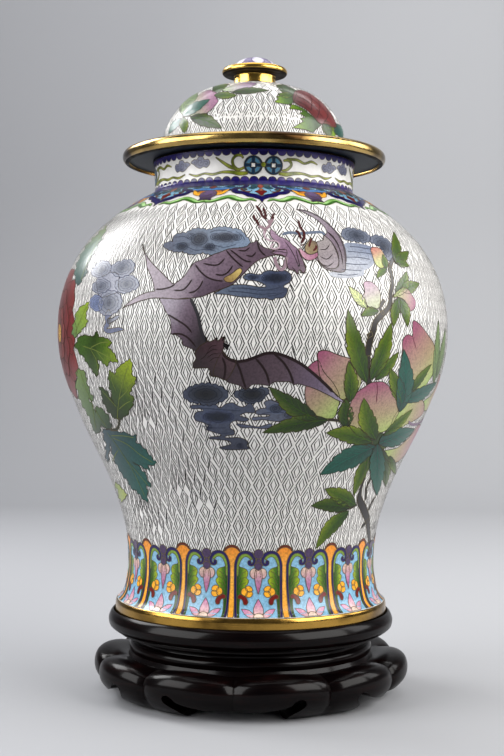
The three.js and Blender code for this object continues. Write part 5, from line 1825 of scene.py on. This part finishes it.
LID_LOBED = [
    ([(283, 84), (290, 87), (297, 90), (296, 96), (294, 101), (291, 104.5), (284, 103.5), (278, 102.5),
     (274.6, 101.5), (279, 98), (276, 96), (282, 95.5), (287, 94), (283, 92), (279, 89.5), (285, 90),
     (280, 86.5)], (292, 98), (276, 100)),
    ([(289, 103.5), (296, 105), (303, 108), (309, 113), (314, 117), (318, 122), (322, 124.5), (318, 128),
     (313, 132.5), (307, 130), (300, 128.6), (293, 127.6), (299, 124), (304, 121), (300, 118.5), (306, 117),
     (300, 113), (304, 111), (296, 109), (289, 108), (292, 106)], (314, 120), (296, 124)),
    ([(322, 123), (328, 124), (334, 126), (337, 133), (334, 138), (329, 136), (325, 131)], (326, 126),
     (334, 136)),
]
LID_FLOWER = [
    (295, 91), (301, 89.8), (308, 92), (316, 97), (323, 103), (329, 110), (334, 118), (337, 126), (333, 127),
    (327, 124), (321, 123.6), (316, 119), (310, 112.5), (303, 107), (296, 103.5), (293, 98),
]
LID_FLOWER_LINES = [
    [(297, 96), (306, 100), (316, 108), (324, 119)], [(300, 91), (310, 97), (321, 106), (331, 120)],
    [(296, 100), (304, 104), (312, 111)], [(308, 92), (312, 101), (311, 111)],
    [(318, 99), (320, 108), (317, 118)], [(327, 108), (328, 116), (324, 122)],
]


def lid_pictures():
    wall = Wall(dome_line())
    ground = Inlay(wall)
    last = float(np.interp(STEM_R + LID_GROUND_END, wall.r[::-1], wall.s[::-1]))
    lozenges(ground, LID_GROUND_START, last, LID_PITCH, LID_PITCH, LID_RISE, LID_SEED)
    ground.piece("lid_lozenges", "lid_shell")
    for name, around in (("lid_front_picture", 0.0), ("lid_back_picture", BACK)):
        sheet = Picture(wall, around)
        for outline, start, end, stops, level in LID_FRUIT:
            figure(sheet, outline, stops, start, end, level)
        for base, tip, width, stops, level, bow in LID_LEAVES:
            leaf(sheet, base, tip, width, stops, level, bow, 4, 3)
        for outline, start, end in LID_LOBED:
            figure(sheet, outline, [(0, (34, 60, 12)), (0.5, (62, 96, 12)), (1, (110, 140, 20))], start, end,
                   3, False)
        figure(sheet, LID_FLOWER, [(0, (70, 28, 30)), (0.5, (104, 36, 36)), (1, (86, 52, 48))], (296, 106),
               (332, 104), 4)
        strokes(sheet, LID_FLOWER_LINES, 6, 0.4, even((44, 16, 20)))
        sheet.piece(name, "lid_shell")


def button_picture():
    """A blossom seen from above: pale petals on a lilac ground."""
    wall = Wall(button_line())
    sheet = Inlay(wall)
    lilac = rippled([(0, (112, 100, 140)), (1, (146, 138, 168))], 0.5)
    around = math.pi * BUTTON_R
    top = float(wall.s[-1]) - 0.4
    for part in (-1, 1):
        sheet.field(lambda x, y: (np.degrees(x / BUTTON_R), y),
                    [(0, 0.3), (part * around, 0.3), (part * around, top), (0, top)], lilac, 1, 1.1)
    for i in range(6):
        petal = closed_curve([(0, 1.6), (3.2, 2.6), (4.4, 5.4), (3.6, 8.6), (0, 10.4), (-3.6, 8.6),
                              (-4.4, 5.4), (-3.2, 2.6)], 4)
        middle = i * 60 + 10
        sheet.cell(lambda x, y, m=middle: (m + np.degrees(x / BUTTON_R), y), petal,
                   graded([(0, (226, 224, 230)), (1, (170, 160, 196))],
                          lambda x, y: np.clip(np.abs(x) / 4.4, 0, 1)), 3, 1.1, 0.4, even((72, 60, 96)))
    sheet.piece("button_blossom", "knob_button")


def jar_pictures():
    wall = Wall(jar_line())
    for name, around in (("front_picture", 0.0), ("back_picture", BACK)):
        sheet = Picture(wall, around)
        cloud_pictures(sheet)
        peony_pictures(sheet)
        peach_pictures(sheet)
        bat_pictures(sheet)
        sheet.piece(name, "jar_body")


# Camera, floor and lights

def camera():
    data = bpy.data.cameras.new("camera")
    data.sensor_fit = "AUTO"
    data.sensor_width = 36.0
    data.lens = 36.0 * FOCAL_PIXELS / PICTURE_H
    data.shift_x = (PICTURE_W / 2 - AXIS_COLUMN) / PICTURE_H
    thing = bpy.data.objects.new("camera", data)
    bpy.context.scene.collection.objects.link(thing)
    place = Matrix.Translation((0, -CAMERA_DISTANCE * MM, CAMERA_HEIGHT * MM))
    thing.matrix_world = place @ camera_turn().to_4x4()
    bpy.context.scene.camera = thing


FLOOR_FRONT, FLOOR_BACK, FLOOR_BEND, FLOOR_TOP, FLOOR_SIDE = -0.66, 1.1, 0.5, 2.6, 2.6
FLOOR_SHADE_FROM, FLOOR_SHADE_TO = -0.75, 0.4
# Floor colours from left to right: the darker left is painted shade
FLOOR_SHADE_TONES = [(0, (142, 143, 147)), (0.5, (150, 151, 155)), (1, (169, 170, 173))]
SKY_TONE, SKY_STRENGTH = (0.92, 0.94, 1.0, 1.0), 0.08
MIDDLE = (0, 0, 0.2)
# Lights: name, place, target, size in metres, power in watts and tone
SOFT_BOXES = [
    ("left_box", (-1.0, -0.5, 0.64), MIDDLE, (1.0, 0.85), 17, (1, 1, 1)),
    ("right_box", (0.95, -0.56, 0.7), MIDDLE, (1.0, 0.9), 20, (1.0, 0.985, 0.96)),
    ("top_box", (0, 0.1, 1.5), MIDDLE, (1.4, 1.2), 9, (1, 1, 1)),
    ("back_box", (0.1, 0.7, 1.4), (0.1, 1.6, 0.35), (1.8, 0.4), 12, (1, 1, 1)),
    ("left_edge_box", (-0.8, 0.5, 0.85), (0, 0, 0.24), (0.5, 0.5), 9, (1, 1, 1)),
    ("right_edge_box", (0.98, 0.16, 0.6), (0, 0, 0.22), (0.4, 0.6), 4, (1, 1, 1)),
]


def floor():
    """A pale sheet that bends up behind the jar, with painted shade that makes it a little darker to the
    left.
    """
    bend = [(FLOOR_BACK + FLOOR_BEND * math.sin(a), FLOOR_BEND - FLOOR_BEND * math.cos(a))
            for a in np.linspace(0.1, math.pi / 2, 12)]
    profile = [(FLOOR_FRONT, 0.0), (FLOOR_BACK, 0.0)] + bend + [(FLOOR_BACK + FLOOR_BEND, FLOOR_TOP)]
    points = [(x, y, z) for x in (-FLOOR_SIDE, FLOOR_SIDE) for y, z in profile]
    count = len(profile)
    faces = [(i, i + count, i + count + 1, i + 1) for i in range(count - 1)]
    piece = new_mesh_piece("floor", points, [], faces)
    material, nodes, links, shader = new_material("pale_floor")
    across = nodes.new("ShaderNodeSeparateXYZ")
    links.new(nodes.new("ShaderNodeTexCoord").outputs["Object"], across.inputs["Vector"])
    reach = nodes.new("ShaderNodeMapRange")
    reach.inputs["From Min"].default_value = FLOOR_SHADE_FROM
    reach.inputs["From Max"].default_value = FLOOR_SHADE_TO
    links.new(across.outputs["X"], reach.inputs["Value"])
    tones = [(at, light(tone)) for at, tone in FLOOR_SHADE_TONES]
    links.new(ramp(nodes, links, reach.outputs["Result"], tones), shader.inputs["Base Color"])
    finish(shader, rough=0.75)
    piece.data.materials.append(material)
    make_active(piece)
    bpy.ops.object.shade_smooth()


def soft_box(name, place, target, size, power, tone):
    data = bpy.data.lights.new(name, "AREA")
    data.shape = "RECTANGLE"
    data.size, data.size_y = size
    data.energy = power
    data.color = tone
    thing = bpy.data.objects.new(name, data)
    bpy.context.scene.collection.objects.link(thing)
    thing.location = place
    thing.rotation_euler = (Vector(target) - Vector(place)).to_track_quat("-Z", "Y").to_euler()


def lights():
    for row in SOFT_BOXES:
        soft_box(*row)
    world = bpy.context.scene.world or bpy.data.worlds.new("studio")
    bpy.context.scene.world = world
    world.use_nodes = True
    back = world.node_tree.nodes["Background"]
    back.inputs["Color"].default_value = SKY_TONE
    back.inputs["Strength"].default_value = SKY_STRENGTH


bpy.context.scene.view_settings.view_transform = "Standard"
camera()
floor()
lights()
jar_body()
rings()
lid_shell()
knob()
stand()
jar_bands()
jar_pictures()
lid_pictures()
button_picture()
